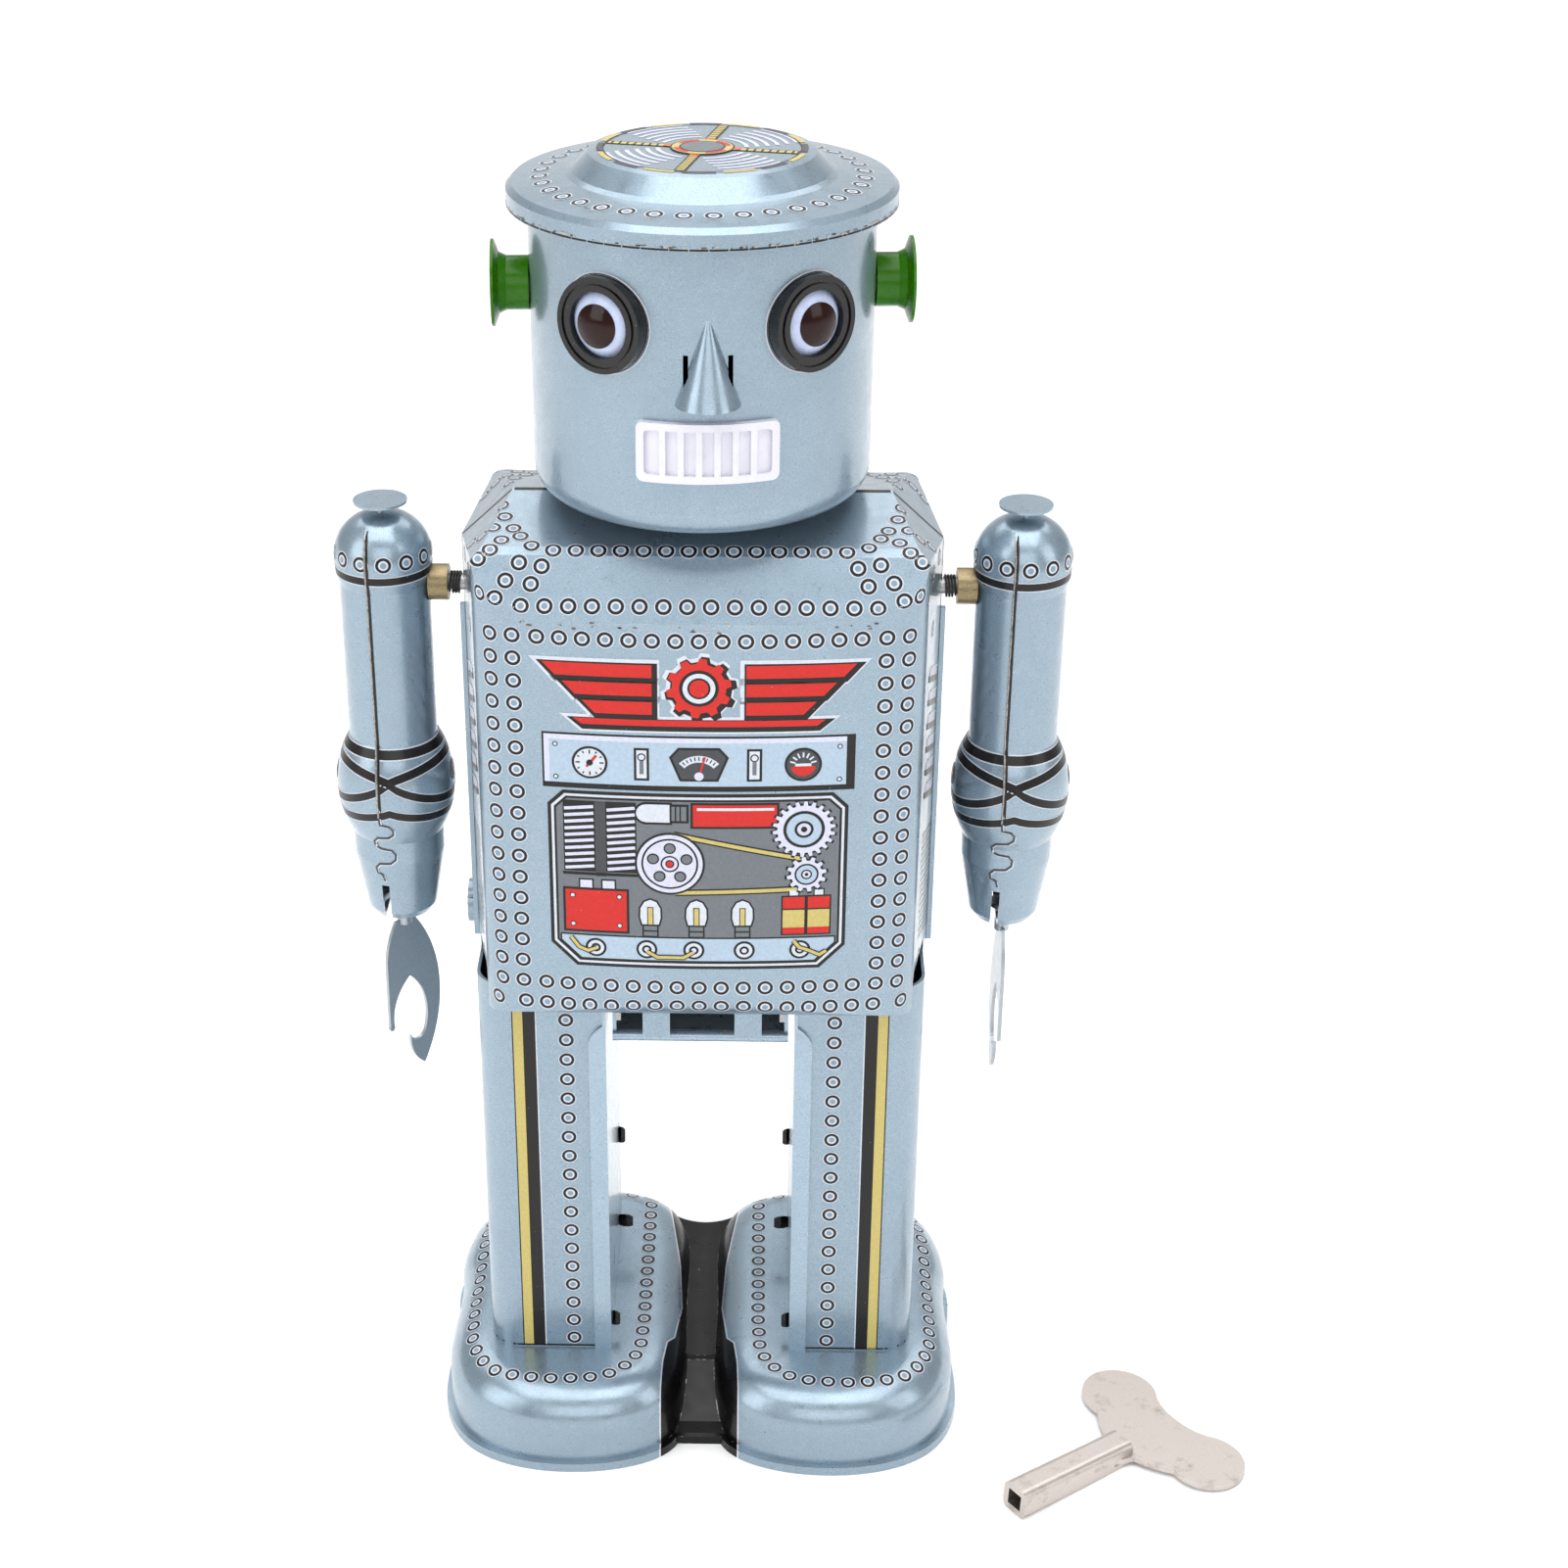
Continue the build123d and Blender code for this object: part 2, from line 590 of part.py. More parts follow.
def valley_block(inset):
    """The low saddle between the shoes: a trough along Y that falls away to the front edge."""
    floor = -1 if inset else 0
    half_w = VALLEY_HALF_W - inset
    edge = VALLEY_Z + 3.2 - inset
    with BuildPart(mode=Mode.PRIVATE) as valley:
        with BuildSketch(Plane.XZ.offset(-30)):
            with BuildLine():
                ThreePointArc((-half_w, edge), (0, VALLEY_Z - inset), (half_w, edge))
                Polyline((half_w, edge), (half_w, floor), (-half_w, floor), (-half_w, edge))
            make_face()
        extrude(amount=60)
        with BuildSketch(Plane.YZ.offset(-10)):
            with BuildLine():
                Polyline(
                    (26.5 - inset, floor),
                    (26.5 - inset, 2.0),
                    (23.5 - inset, FOOT_TOP),
                    (-12.6 + inset / 2, FOOT_TOP),
                    (-13.4 + inset / 2, VALLEY_Z - 0.8 - inset),
                    (-22.5 + inset / 2, 2.4 - inset / 2),
                    (-24.5 + inset, 1.6 - inset / 2),
                    (-24.5 + inset, floor),
                    close=True,
                )
            make_face()
        extrude(amount=20, mode=Mode.INTERSECT)
    return valley.part


def foot_blocks(inset):
    """Both shoes and the saddle between them as solids, moved in by `inset`."""
    blocks = [valley_block(inset)]
    for side in (-1, 1):
        with BuildPart(mode=Mode.PRIVATE) as shoe:
            with BuildSketch(Plane.XY.offset(-1 if inset else 0)):
                add(shoe_outline(side, -inset))
            extrude(amount=FOOT_TOP - inset + (1 if inset else 0))
            fillet(shoe.faces().sort_by(Axis.Z)[-1].edges(), FOOT_ROUND - inset)
        blocks.append(shoe.part)
    return blocks


def base_outline(grow):
    """Plan outline of the whole base."""
    with BuildSketch(mode=Mode.PRIVATE) as outline:
        add(shoe_outline(-1, grow))
        add(shoe_outline(1, grow))
        with Locations((0, 1.0)):
            Rectangle(9 + 2 * grow, 51 + 2 * grow)
    return outline.sketch


with BuildPart() as foot_base:
    add(foot_blocks(0))
    with BuildSketch():
        add(base_outline(BEAD))
    extrude(amount=1.6)
    add(foot_blocks(TIN), mode=Mode.SUBTRACT)
    # a long slot in the right shoe lets the belt down to the axle
    with Locations((PULLEY_X, 7, FOOT_TOP)):
        Box(3.4, 18, 6, mode=Mode.SUBTRACT)
save(foot_base.part, "foot_base")

DRIVE_WHEEL_X = 33.0
FRONT_WHEEL_X = 19.0
with BuildPart() as sole_plate:
    with BuildSketch(Plane.XY.offset(0.8)):
        add(base_outline(-TIN - 0.1))
        with Locations((-DRIVE_WHEEL_X, DRIVE_Y), (DRIVE_WHEEL_X, DRIVE_Y)):
            Rectangle(6, 13, mode=Mode.SUBTRACT)
        with Locations((-FRONT_WHEEL_X, FRONT_Y), (FRONT_WHEEL_X, FRONT_Y)):
            Rectangle(5, 10, mode=Mode.SUBTRACT)
    extrude(amount=0.5)
    for x, y, z, r in (
        (27.6, DRIVE_Y, DRIVE_Z, 1.0 + RUN),
        (-27.6, DRIVE_Y, DRIVE_Z, 1.0 + RUN),
        (14.6, FRONT_Y, FRONT_Z, 0.8 + RUN),
        (-14.6, FRONT_Y, FRONT_Z, 0.8 + RUN),
    ):
        with BuildSketch(Plane.YZ.offset(x - 0.3)):
            with Locations((y, (z + 2.0 + 1.0) / 2)):
                Rectangle(5, z + 2.0 - 1.0)
            with Locations((y, z)):
                Circle(r, mode=Mode.SUBTRACT)
        extrude(amount=0.6)
save(sole_plate.part, "sole_plate")

# ---------------------------------------------------------------- running gear
save(rod(-36, 36, DRIVE_Y, DRIVE_Z, 1.0), "drive_axle")
save(rod(-21.5, 21.5, FRONT_Y, FRONT_Z, 0.8), "front_axle")
for side_name, side in SIDES.items():
    with BuildPart() as drive_wheel:
        add(rod(side * DRIVE_WHEEL_X - 2, side * DRIVE_WHEEL_X + 2, DRIVE_Y, DRIVE_Z, DRIVE_R))
        add(rod(-40, 40, DRIVE_Y, DRIVE_Z, 1.0), mode=Mode.SUBTRACT)
    save(drive_wheel.part, f"drive_wheel_{side_name}")
    with BuildPart() as front_wheel:
        add(rod(side * FRONT_WHEEL_X - 1.5, side * FRONT_WHEEL_X + 1.5, FRONT_Y, FRONT_Z, FRONT_R))
        add(rod(-40, 40, FRONT_Y, FRONT_Z, 0.8), mode=Mode.SUBTRACT)
    save(front_wheel.part, f"front_wheel_{side_name}")


def pulley(y, z, shaft_r):
    """Flanged pulley on a shaft along X."""
    with BuildPart(mode=Mode.PRIVATE) as wheel:
        add(rod(PULLEY_X - 1.5, PULLEY_X + 1.5, y, z, PULLEY_R))
        add(rod(PULLEY_X - 1.5, PULLEY_X - 1.1, y, z, PULLEY_R + 0.95))
        add(rod(PULLEY_X + 1.1, PULLEY_X + 1.5, y, z, PULLEY_R + 0.95))
        add(rod(PULLEY_X - 2, PULLEY_X + 2, y, z, shaft_r), mode=Mode.SUBTRACT)
    return wheel.part


# ---------------------------------------------------------------- clockwork
def involute(angle):
    return tan(angle) - angle


def gear_profile(teeth, module, phase):
    """Outline of an involute gear; `phase` is the direction of a tooth's middle, in degrees."""
    pitch_r = teeth * module / 2
    base_r = pitch_r * cos(PRESSURE_ANGLE)
    root_r, tip_r = pitch_r - 1.15 * module, pitch_r + 0.9 * module
    low_r = max(root_r, base_r)
    flank = [low_r + (tip_r - low_r) * step / 3 for step in range(4)]

    def half_angle(radius):
        here = involute(acos(min(1.0, base_r / radius)))
        return pi / (2 * teeth) - BACKLASH / (2 * pitch_r) + involute(PRESSURE_ANGLE) - here

    points = []
    for tooth in range(teeth):
        middle = radians(phase) + 2 * pi * tooth / teeth
        rising = [(root_r, half_angle(low_r))] * (root_r < low_r)
        rising += [(radius, half_angle(radius)) for radius in flank]
        for radius, half in rising:
            points.append((radius * cos(middle - half), radius * sin(middle - half)))
        for radius, half in reversed(rising):
            points.append((radius * cos(middle + half), radius * sin(middle + half)))
    return points


def across(x, centre):
    """Plane square to X whose own origin is at `centre` in (Y, Z)."""
    return Plane(origin=(x, *centre), x_dir=(0, 1, 0), z_dir=(1, 0, 0))


def gear(x0, x1, centre, teeth, module, phase):
    """A spur gear along X."""
    with BuildPart(mode=Mode.PRIVATE) as wheel:
        with BuildSketch(across(x0, centre)):
            with BuildLine():
                Polyline(gear_profile(teeth, module, phase), close=True)
            make_face()
        extrude(amount=x1 - x0)
    return wheel.part


def beside(centre, distance, direction):
    """Point at `distance` from `centre` in the YZ plane, direction in degrees from +Y."""
    return (
        centre[0] + distance * cos(radians(direction)),
        centre[1] + distance * sin(radians(direction)),
    )


ARBOR = (ARBOR_Y, ARBOR_Z)
SECOND_DIRECTION = 105
SECOND = beside(ARBOR, (GREAT_TEETH + PINION_TEETH) * GREAT_MODULE / 2, SECOND_DIRECTION)
THIRD_DIRECTION = 150
THIRD = beside(SECOND, (FAST_TEETH + PINION_TEETH) * FAST_MODULE / 2, THIRD_DIRECTION)
HALF_PINION_STEP = 180 / PINION_TEETH
ARBOR_R = 1.5
PILLARS = ((-14.0, 81.0), (16.3, 80.2), (14.5, 103.5), (-3.0, 121.5))

for side_name, side in SIDES.items():
    with BuildPart() as motor_plate:
        with BuildSketch(Plane.YZ.offset(PLATE_X if side > 0 else -PLATE_X - PLATE_T)):
            with BuildLine():
                Polyline(
                    (-16.5, 78.5),
                    (18, 78.5),
                    (18, 84),
                    (17, 106),
                    (6, 118),
                    (0, 124.5),
                    (-6, 124.5),
                    (-16.5, 114),
                    close=True,
                )
            make_face()
            with Locations(ARBOR):
                Circle(ARBOR_R + RUN, mode=Mode.SUBTRACT)
            with Locations(SECOND, THIRD):
                Circle(1.0 + RUN, mode=Mode.SUBTRACT)
        extrude(amount=PLATE_T)
    save(motor_plate.part, f"motor_plate_{side_name}")

with BuildPart() as motor_pillars:
    for y, z in PILLARS:
        add(rod(-PLATE_X, PLATE_X, y, z, 1.2))
save(motor_pillars.part, "motor_pillars")

with BuildPart() as winding_arbor:
    add(rod(-PLATE_X - PLATE_T - 1, PLATE_X + PLATE_T + 0.6, *ARBOR, ARBOR_R))
    with BuildSketch(Plane.YZ.offset(-TORSO_HALF_W + 0.2)):
        with Locations(ARBOR):
            Rectangle(2.6, 2.6)
    extrude(amount=TORSO_HALF_W - PLATE_X - PLATE_T - 1.2)
    # ratchet wheel, fixed on the arbor
    with BuildSketch(across(6.2, ARBOR)):
        with BuildLine():
            Polyline(
                [
                    (r * cos(radians(30 * k + t)), r * sin(radians(30 * k + t)))
                    for k in range(12)
                    for r, t in ((4.0, 0), (5.0, 26), (4.0, 28))
                ],
                close=True,
            )
        make_face()
    extrude(amount=1.0)
save(winding_arbor.part, "winding_arbor")

with BuildPart() as great_wheel:
    add(gear(-9.2, -7.8, ARBOR, GREAT_TEETH, GREAT_MODULE, SECOND_DIRECTION))
    add(rod(-10.5, -6.5, *ARBOR, 3.0))
    add(rod(-11, 11, *ARBOR, ARBOR_R + RUN), mode=Mode.SUBTRACT)
save(great_wheel.part, "great_wheel")

with BuildPart() as mainspring:
    with BuildSketch(Plane.YZ.offset(-5.6)):
        with Locations(ARBOR):
            for turn in range(5):
                Circle(9.6 - 1.3 * turn)
                Circle(9.2 - 1.3 * turn, mode=Mode.SUBTRACT)
            with Locations((0, 6.6)):
                Rectangle(0.4, 5.6)
    extrude(amount=6.6)
save(mainspring.part, "mainspring")

with BuildPart() as click:
    with BuildSketch(Plane.YZ.offset(6.2)):
        with Locations(beside(ARBOR, 9.0, -20)):
            Circle(1.3)
        with BuildLine():
            Polyline(
                beside(ARBOR, 9.8, -14),
                beside(ARBOR, 5.9, 13),
                beside(ARBOR, 5.25, 6),
                beside(ARBOR, 10.2, -20),
                close=True,
            )
        make_face()
    extrude(amount=1.0)
    add(rod(7.2, PLATE_X, *beside(ARBOR, 9.0, -20), 0.7))
save(click.part, "click")

with BuildPart() as second_wheel:
    add(rod(-PLATE_X - PLATE_T - 0.4, PULLEY_X + 1.8, *SECOND, 1.0))
    add(gear(-10.4, -6.6, SECOND, PINION_TEETH, GREAT_MODULE, SECOND_DIRECTION + 180 + HALF_PINION_STEP))
    add(gear(3.0, 4.2, SECOND, FAST_TEETH, FAST_MODULE, THIRD_DIRECTION))
save(second_wheel.part, "second_wheel")
save(pulley(*SECOND, 1.0), "upper_pulley")

with BuildPart() as governor:
    add(rod(-PLATE_X - PLATE_T - 0.4, PLATE_X + PLATE_T + 0.4, *THIRD, 1.0))
    add(gear(1.6, 5.6, THIRD, PINION_TEETH, FAST_MODULE, THIRD_DIRECTION + 180 + HALF_PINION_STEP))
    add(rod(-4.0, -2.8, *THIRD, 6.0))
save(governor.part, "governor")
save(pulley(DRIVE_Y, DRIVE_Z, 1.0), "lower_pulley")

# belt: two arcs round the pulleys and the two straight runs that touch them
BELT_IN = PULLEY_R + RUN
BELT_OUT = BELT_IN + 0.7
RUN_DIRECTION = degrees(atan2(SECOND[1] - DRIVE_Z, SECOND[0] - DRIVE_Y))


def belt_loop(radius):
    """Closed outline of a loop of this radius about both pulleys."""
    with BuildSketch(mode=Mode.PRIVATE) as loop:
        with BuildLine():
            lower = CenterArc((DRIVE_Y, DRIVE_Z), radius, RUN_DIRECTION + 90, 180)
            upper = CenterArc(SECOND, radius, RUN_DIRECTION - 90, 180)
            Line(lower @ 1, upper @ 0)
            Line(upper @ 1, lower @ 0)
        make_face()
    return loop.sketch


with BuildPart() as drive_belt:
    with BuildSketch(Plane.YZ.offset(PULLEY_X - 0.9)):
        add(belt_loop(BELT_OUT))
        add(belt_loop(BELT_IN), mode=Mode.SUBTRACT)
    extrude(amount=1.8)
save(drive_belt.part, "drive_belt")

# ---------------------------------------------------------------- winding key, lying on the floor
KEY_TILT = degrees(asin((KEY_SIDE / 2 - KEY_WING_T / 2) / KEY_LENGTH))


def lay_down(piece):
    """Tip the key onto its wing, then turn and move it to its place beside the robot."""
    tipped = piece.rotate(Axis.Y, KEY_TILT).rotate(Axis.Z, KEY_HEADING)
    return tipped.translate((*KEY_PLACE, KEY_SIDE / 2 * cos(radians(KEY_TILT))))


with BuildPart() as key_shaft:
    with BuildSketch(Plane.YZ):
        RectangleRounded(KEY_SIDE, KEY_SIDE, 1.3)
        Rectangle(KEY_SOCKET, KEY_SOCKET, mode=Mode.SUBTRACT)
    extrude(amount=KEY_SHAFT)
    with Locations((KEY_SHAFT - 1.5, 0, 0)):
        Box(5, 8, KEY_WING_T, mode=Mode.SUBTRACT)
save(lay_down(key_shaft.part), "key_shaft")

with BuildPart() as key_wing:
    with BuildSketch(Plane.XY.offset(-KEY_WING_T / 2)):
        with BuildLine():
            Line((KEY_SHAFT - 4, 2.2), (KEY_SHAFT - 0.2, 3.3))
            ThreePointArc((KEY_SHAFT - 0.2, 3.3), (KEY_SHAFT + 1.0, 6.0), (KEY_SHAFT + 3.2, 9.3))
            ThreePointArc((KEY_SHAFT + 3.2, 9.3), (34.2, 16.8), (KEY_LENGTH - 1.8, 6.2))
            ThreePointArc((KEY_LENGTH - 1.8, 6.2), (KEY_LENGTH - 2.9, 3.6), (KEY_LENGTH - 3.3, 0))
            mirror(about=Plane.XZ)
            Line((KEY_SHAFT - 4, 2.2), (KEY_SHAFT - 4, -2.2))
        make_face()
    extrude(amount=KEY_WING_T)
save(lay_down(key_wing.part), "key_wing")
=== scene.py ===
"""Tin wind-up robot: looks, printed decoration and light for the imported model.

The frame is in metres.  Sizes below are in millimetres and are scaled by MM where they reach Blender.
-Y is the robot's front, +Z is up, "left" is the left side seen from the front (-X).
"""

import json
import random
from math import cos, hypot, radians, sin, sqrt, tau

import bmesh
import bpy
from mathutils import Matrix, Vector
from mathutils.bvhtree import BVHTree


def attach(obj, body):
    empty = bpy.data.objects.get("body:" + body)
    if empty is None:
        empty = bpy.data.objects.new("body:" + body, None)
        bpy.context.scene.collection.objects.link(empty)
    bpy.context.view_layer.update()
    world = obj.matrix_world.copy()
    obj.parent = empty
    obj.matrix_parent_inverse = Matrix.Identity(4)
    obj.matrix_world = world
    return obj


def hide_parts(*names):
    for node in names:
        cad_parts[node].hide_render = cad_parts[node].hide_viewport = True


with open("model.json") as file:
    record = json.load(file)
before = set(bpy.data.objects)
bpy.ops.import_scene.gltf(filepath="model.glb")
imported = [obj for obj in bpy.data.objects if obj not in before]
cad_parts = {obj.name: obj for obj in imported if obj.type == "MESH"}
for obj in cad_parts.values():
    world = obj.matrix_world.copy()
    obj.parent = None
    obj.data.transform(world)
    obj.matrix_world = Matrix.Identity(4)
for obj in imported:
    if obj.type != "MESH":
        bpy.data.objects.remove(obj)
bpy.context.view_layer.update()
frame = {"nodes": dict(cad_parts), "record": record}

MM = 0.001
SIDES = {"left": -1, "right": 1}
FACES = {"front": -1, "back": 1}


# -------- materials
def srgb(red, green, blue):
    """Linear colour from display values 0-255."""
    linear = [((c / 255 + 0.055) / 1.055) ** 2.4 if c > 10 else c / 255 / 12.92 for c in (red, green, blue)]
    return (*linear, 1.0)


def dimmed(colour, share):
    """The same colour with `share` of its light."""
    return (*(share * c for c in colour[:3]), 1.0)


class Shader:
    """One procedural Principled material, and short names for the nodes that feed it."""

    def __init__(self, name, **sockets):
        self.material = bpy.data.materials.new(name)
        self.material.use_nodes = True
        self.tree = self.material.node_tree
        self.tree.nodes.clear()
        self.shader = self.node("BsdfPrincipled")
        self.node("OutputMaterial", Surface=self.shader.outputs[0])
        self.place = self.node("TexCoord").outputs["Object"]
        self.use(**sockets)

    def feed(self, node, key, value):
        """Link an output, or set a plain value, on one input of a node."""
        if isinstance(value, bpy.types.NodeSocket):
            self.tree.links.new(value, node.inputs[key])
        else:
            node.inputs[key].default_value = value

    def node(self, kind, *values, **named):
        """New node with inputs fed by position or by name."""
        node = self.tree.nodes.new(f"ShaderNode{kind}")
        for key, value in (*enumerate(values), *named.items()):
            self.feed(node, key, value)
        return node

    def use(self, **sockets):
        """Feed inputs of the Principled shader; underscores stand for spaces."""
        for socket, value in sockets.items():
            self.feed(self.shader, socket.replace("_", " "), value)
        return self.material

    def noise(self, size, detail=3.0, roughness=0.55, stretch=(1, 1, 1)):
        """Noise whose features are about `size` mm across."""
        place = self.place
        if stretch != (1, 1, 1):
            place = self.node("Mapping", Scale=stretch, Vector=place).outputs[0]
        scale = 1 / (size * MM)
        return self.node("TexNoise", Scale=scale, Detail=detail, Roughness=roughness, Vector=place).outputs[0]

    def cells(self, size):
        """Distance to the middle of random cells about `size` mm across."""
        return self.node("TexVoronoi", Scale=1 / (size * MM), Vector=self.place).outputs["Distance"]

    def ramp(self, value, low, high, start=0.0, stop=1.0):
        """Value mapped from low..high to start..stop, clamped."""
        return self.node("MapRange", value, low, high, start, stop).outputs[0]

    def math(self, operation, *values):
        node = self.node("Math", *values)
        node.operation = operation
        return node.outputs[0]

    def mix(self, share, first, second):
        """Colour between first and second."""
        node = self.node("Mix")
        node.data_type = "RGBA"
        for index, value in ((0, share), (6, first), (7, second)):
            self.feed(node, index, value)
        return node.outputs[2]

    def edges(self, width):
        """1 on edges sharper than the surface round them within `width` mm."""
        soft = self.node("Bevel", Radius=width * MM)
        soft.samples = 4
        dot = self.node("VectorMath", soft.outputs[0], self.node("NewGeometry").outputs["Normal"])
        dot.operation = "DOT_PRODUCT"
        return self.ramp(dot.outputs["Value"], 0.97, 0.86)

    def bump(self, height, depth):
        """Surface relief of `depth` mm."""
        self.use(Normal=self.node("Bump", Strength=1.0, Distance=depth * MM, Height=height).outputs[0])


SADDLE_END = 32.0  # the width ramp runs from -this to this along Y
SADDLE_WIDEST = 10.0  # half width that the ramp's value 1 stands for
# (distance along Y, half width) of the black band, front to back
SADDLE_WIDTHS = (
    (-25.0, 6.4), (-20.0, 6.2), (-15.0, 5.6), (-12.8, 4.4), (-3.0, 3.4), (8.0, 4.0), (18.0, 5.4), (27.0, 6.6)
)


def saddle_mask(s):
    """(white edge, black middle) of the band painted between the shoes, by distance from the middle line."""
    parts = s.node("SeparateXYZ", s.place)
    reach = s.math("ABSOLUTE", parts.outputs["X"])
    ramp = s.node("ValToRGB", s.ramp(parts.outputs["Y"], -SADDLE_END * MM, SADDLE_END * MM))
    stops = ramp.color_ramp.elements
    for index, (depth, width) in enumerate(SADDLE_WIDTHS):
        share = (depth + SADDLE_END) / (2 * SADDLE_END)
        stop = stops[index] if index < 2 else stops.new(share)
        stop.position = share
        stop.color = (width / SADDLE_WIDEST, width / SADDLE_WIDEST, width / SADDLE_WIDEST, 1)
    half = s.math("MULTIPLY", ramp.outputs[0], SADDLE_WIDEST * MM)
    past = s.math("SUBTRACT", reach, half)
    return s.ramp(past, 0.24 * MM, 0.2 * MM), s.ramp(past, 0.02 * MM, -0.02 * MM)


def lacquered_tin(name, light, dark, metallic, roughness, saddle=False):
    """Pearly lacquer over pressed tin: fine grain, soft blotches, stray specks, bare metal on worn edges."""
    light, dark = srgb(*light), srgb(*dark)
    s = Shader(name, Coat_Weight=0.55, Coat_Roughness=0.09, Metallic=metallic)
    grain = s.noise(0.16, 2.0)
    blotch = s.noise(9.0, 4.0)
    base = s.mix(s.ramp(grain, 0.3, 0.72), dark, light)
    base = s.mix(s.ramp(blotch, 0.35, 0.75, 0.0, 0.22), base, dark)
    coat = {}
    if saddle:
        edge, middle = saddle_mask(s)
        coat = {"Coat_Weight": s.math("SUBTRACT", 0.55, s.math("MULTIPLY", middle, 0.42))}
        base = s.mix(edge, base, srgb(228, 230, 236))
        base = s.mix(middle, base, s.mix(s.ramp(blotch, 0.3, 0.7), srgb(16, 15, 16), srgb(28, 26, 27)))
    # dust, pits and worn edges
    base = s.mix(s.ramp(s.cells(6.1), 0.018, 0.01, 0.0, 0.7), base, srgb(226, 226, 222))
    base = s.mix(s.ramp(s.cells(8.3), 0.017, 0.01, 0.0, 0.8), base, srgb(54, 50, 48))
    worn = s.math("MULTIPLY", s.edges(0.3), s.ramp(s.noise(1.1, 4.0), 0.56, 0.62))
    base = s.mix(worn, base, srgb(176, 170, 160))
    shine = s.ramp(s.noise(2.4, 5.0), 0.3, 0.7, roughness - 0.06, roughness + 0.08)
    s.bump(s.math("ADD", s.noise(14.0, 2.0), s.math("MULTIPLY", grain, 0.035)), 0.16)
    return s.use(Base_Color=base, Roughness=shine, **coat)


def ink(name, colour):
    """Printed ink under the lacquer, slightly uneven, with pinholes."""
    s = Shader(name, Coat_Weight=0.12, Coat_Roughness=0.1, Specular_IOR_Level=0.3)
    base = s.mix(s.ramp(s.noise(0.5, 4.0), 0.3, 0.7), dimmed(colour, 0.86), colour)
    base = s.mix(s.ramp(s.cells(1.7), 0.045, 0.03, 0.0, 0.5), base, srgb(190, 198, 204))
    return s.use(Base_Color=base, Roughness=s.ramp(s.noise(1.6), 0.3, 0.7, 0.29, 0.41))


def bare_metal(name, light, dark, roughness, grain=(1, 1, 1), tarnish=None):
    """Bare metal with drawn or brushed grain, scratches and darkened patches."""
    s = Shader(name, Metallic=1.0)
    tarnish = srgb(*(tarnish or dark))
    light, dark = srgb(*light), srgb(*dark)
    brushed = s.noise(0.35, 6.0, 0.7, grain)
    base = s.mix(s.ramp(brushed, 0.3, 0.7), dark, light)
    base = s.mix(s.ramp(s.noise(3.5, 5.0, 0.65), 0.56, 0.72, 0.0, 0.6), base, tarnish)
    base = s.mix(s.ramp(s.cells(1.9), 0.05, 0.03, 0.0, 0.7), base, dimmed(dark, 0.4))
    s.bump(brushed, 0.02)
    return s.use(Base_Color=base, Roughness=s.ramp(brushed, 0.25, 0.75, roughness - 0.08, roughness + 0.12))


def moulded(name, colour, roughness, speck, cloudy, coat, specular=0.5):
    """Moulded plastic: faint flow marks, fine texture and dust."""
    colour = srgb(*colour)
    s = Shader(name, Coat_Weight=coat, Coat_Roughness=0.08, Specular_IOR_Level=specular)
    base = s.mix(s.ramp(s.noise(4.0, 4.0), 0.3, 0.7), dimmed(colour, cloudy), colour)
    base = s.mix(s.ramp(s.cells(1.3), 0.07, 0.04, 0.0, 0.75), base, srgb(*speck))
    s.bump(s.noise(0.6, 3.0), 0.015)
    shine = s.ramp(s.noise(1.2, 4.0), 0.3, 0.7, roughness - 0.05, roughness + 0.1)
    return s.use(Base_Color=base, Roughness=shine)


# light and dark tone, metallic, roughness
TINS = {
    "body_tin": ((160, 178, 191), (126, 146, 161), 0.66, 0.31),
    "claw_tin": ((184, 190, 196), (150, 158, 164), 0.8, 0.36),
    "inner_tin": ((170, 190, 204), (140, 160, 176), 0.6, 0.3),
}
# colour, roughness, colour of the dust, share of light in the flow marks, clear coat, specular level
PLASTICS = {
    "black_plastic": ((22, 21, 22), 0.2, (128, 126, 122), 0.7, 0.25, 0.3),
    "white_plastic": ((219, 218, 229), 0.3, (176, 174, 180), 0.93, 0.5),
    "pupil": ((40, 15, 12), 0.14, (150, 128, 120), 0.6, 0.1, 0.2),
    "green_plastic": ((52, 118, 0), 0.24, (120, 160, 84), 0.75, 0.1, 0.2),
    "tyre_rubber": ((44, 42, 42), 0.62, (120, 114, 108), 0.75, 0.0),
    "belt_rubber": ((58, 50, 44), 0.66, (110, 100, 90), 0.8, 0.0),
    "wheel_plastic": ((206, 204, 196), 0.4, (150, 146, 138), 0.9, 0.2),
    "eye_white": ((190, 202, 232), 0.24, (150, 156, 170), 0.93, 0.4),
}
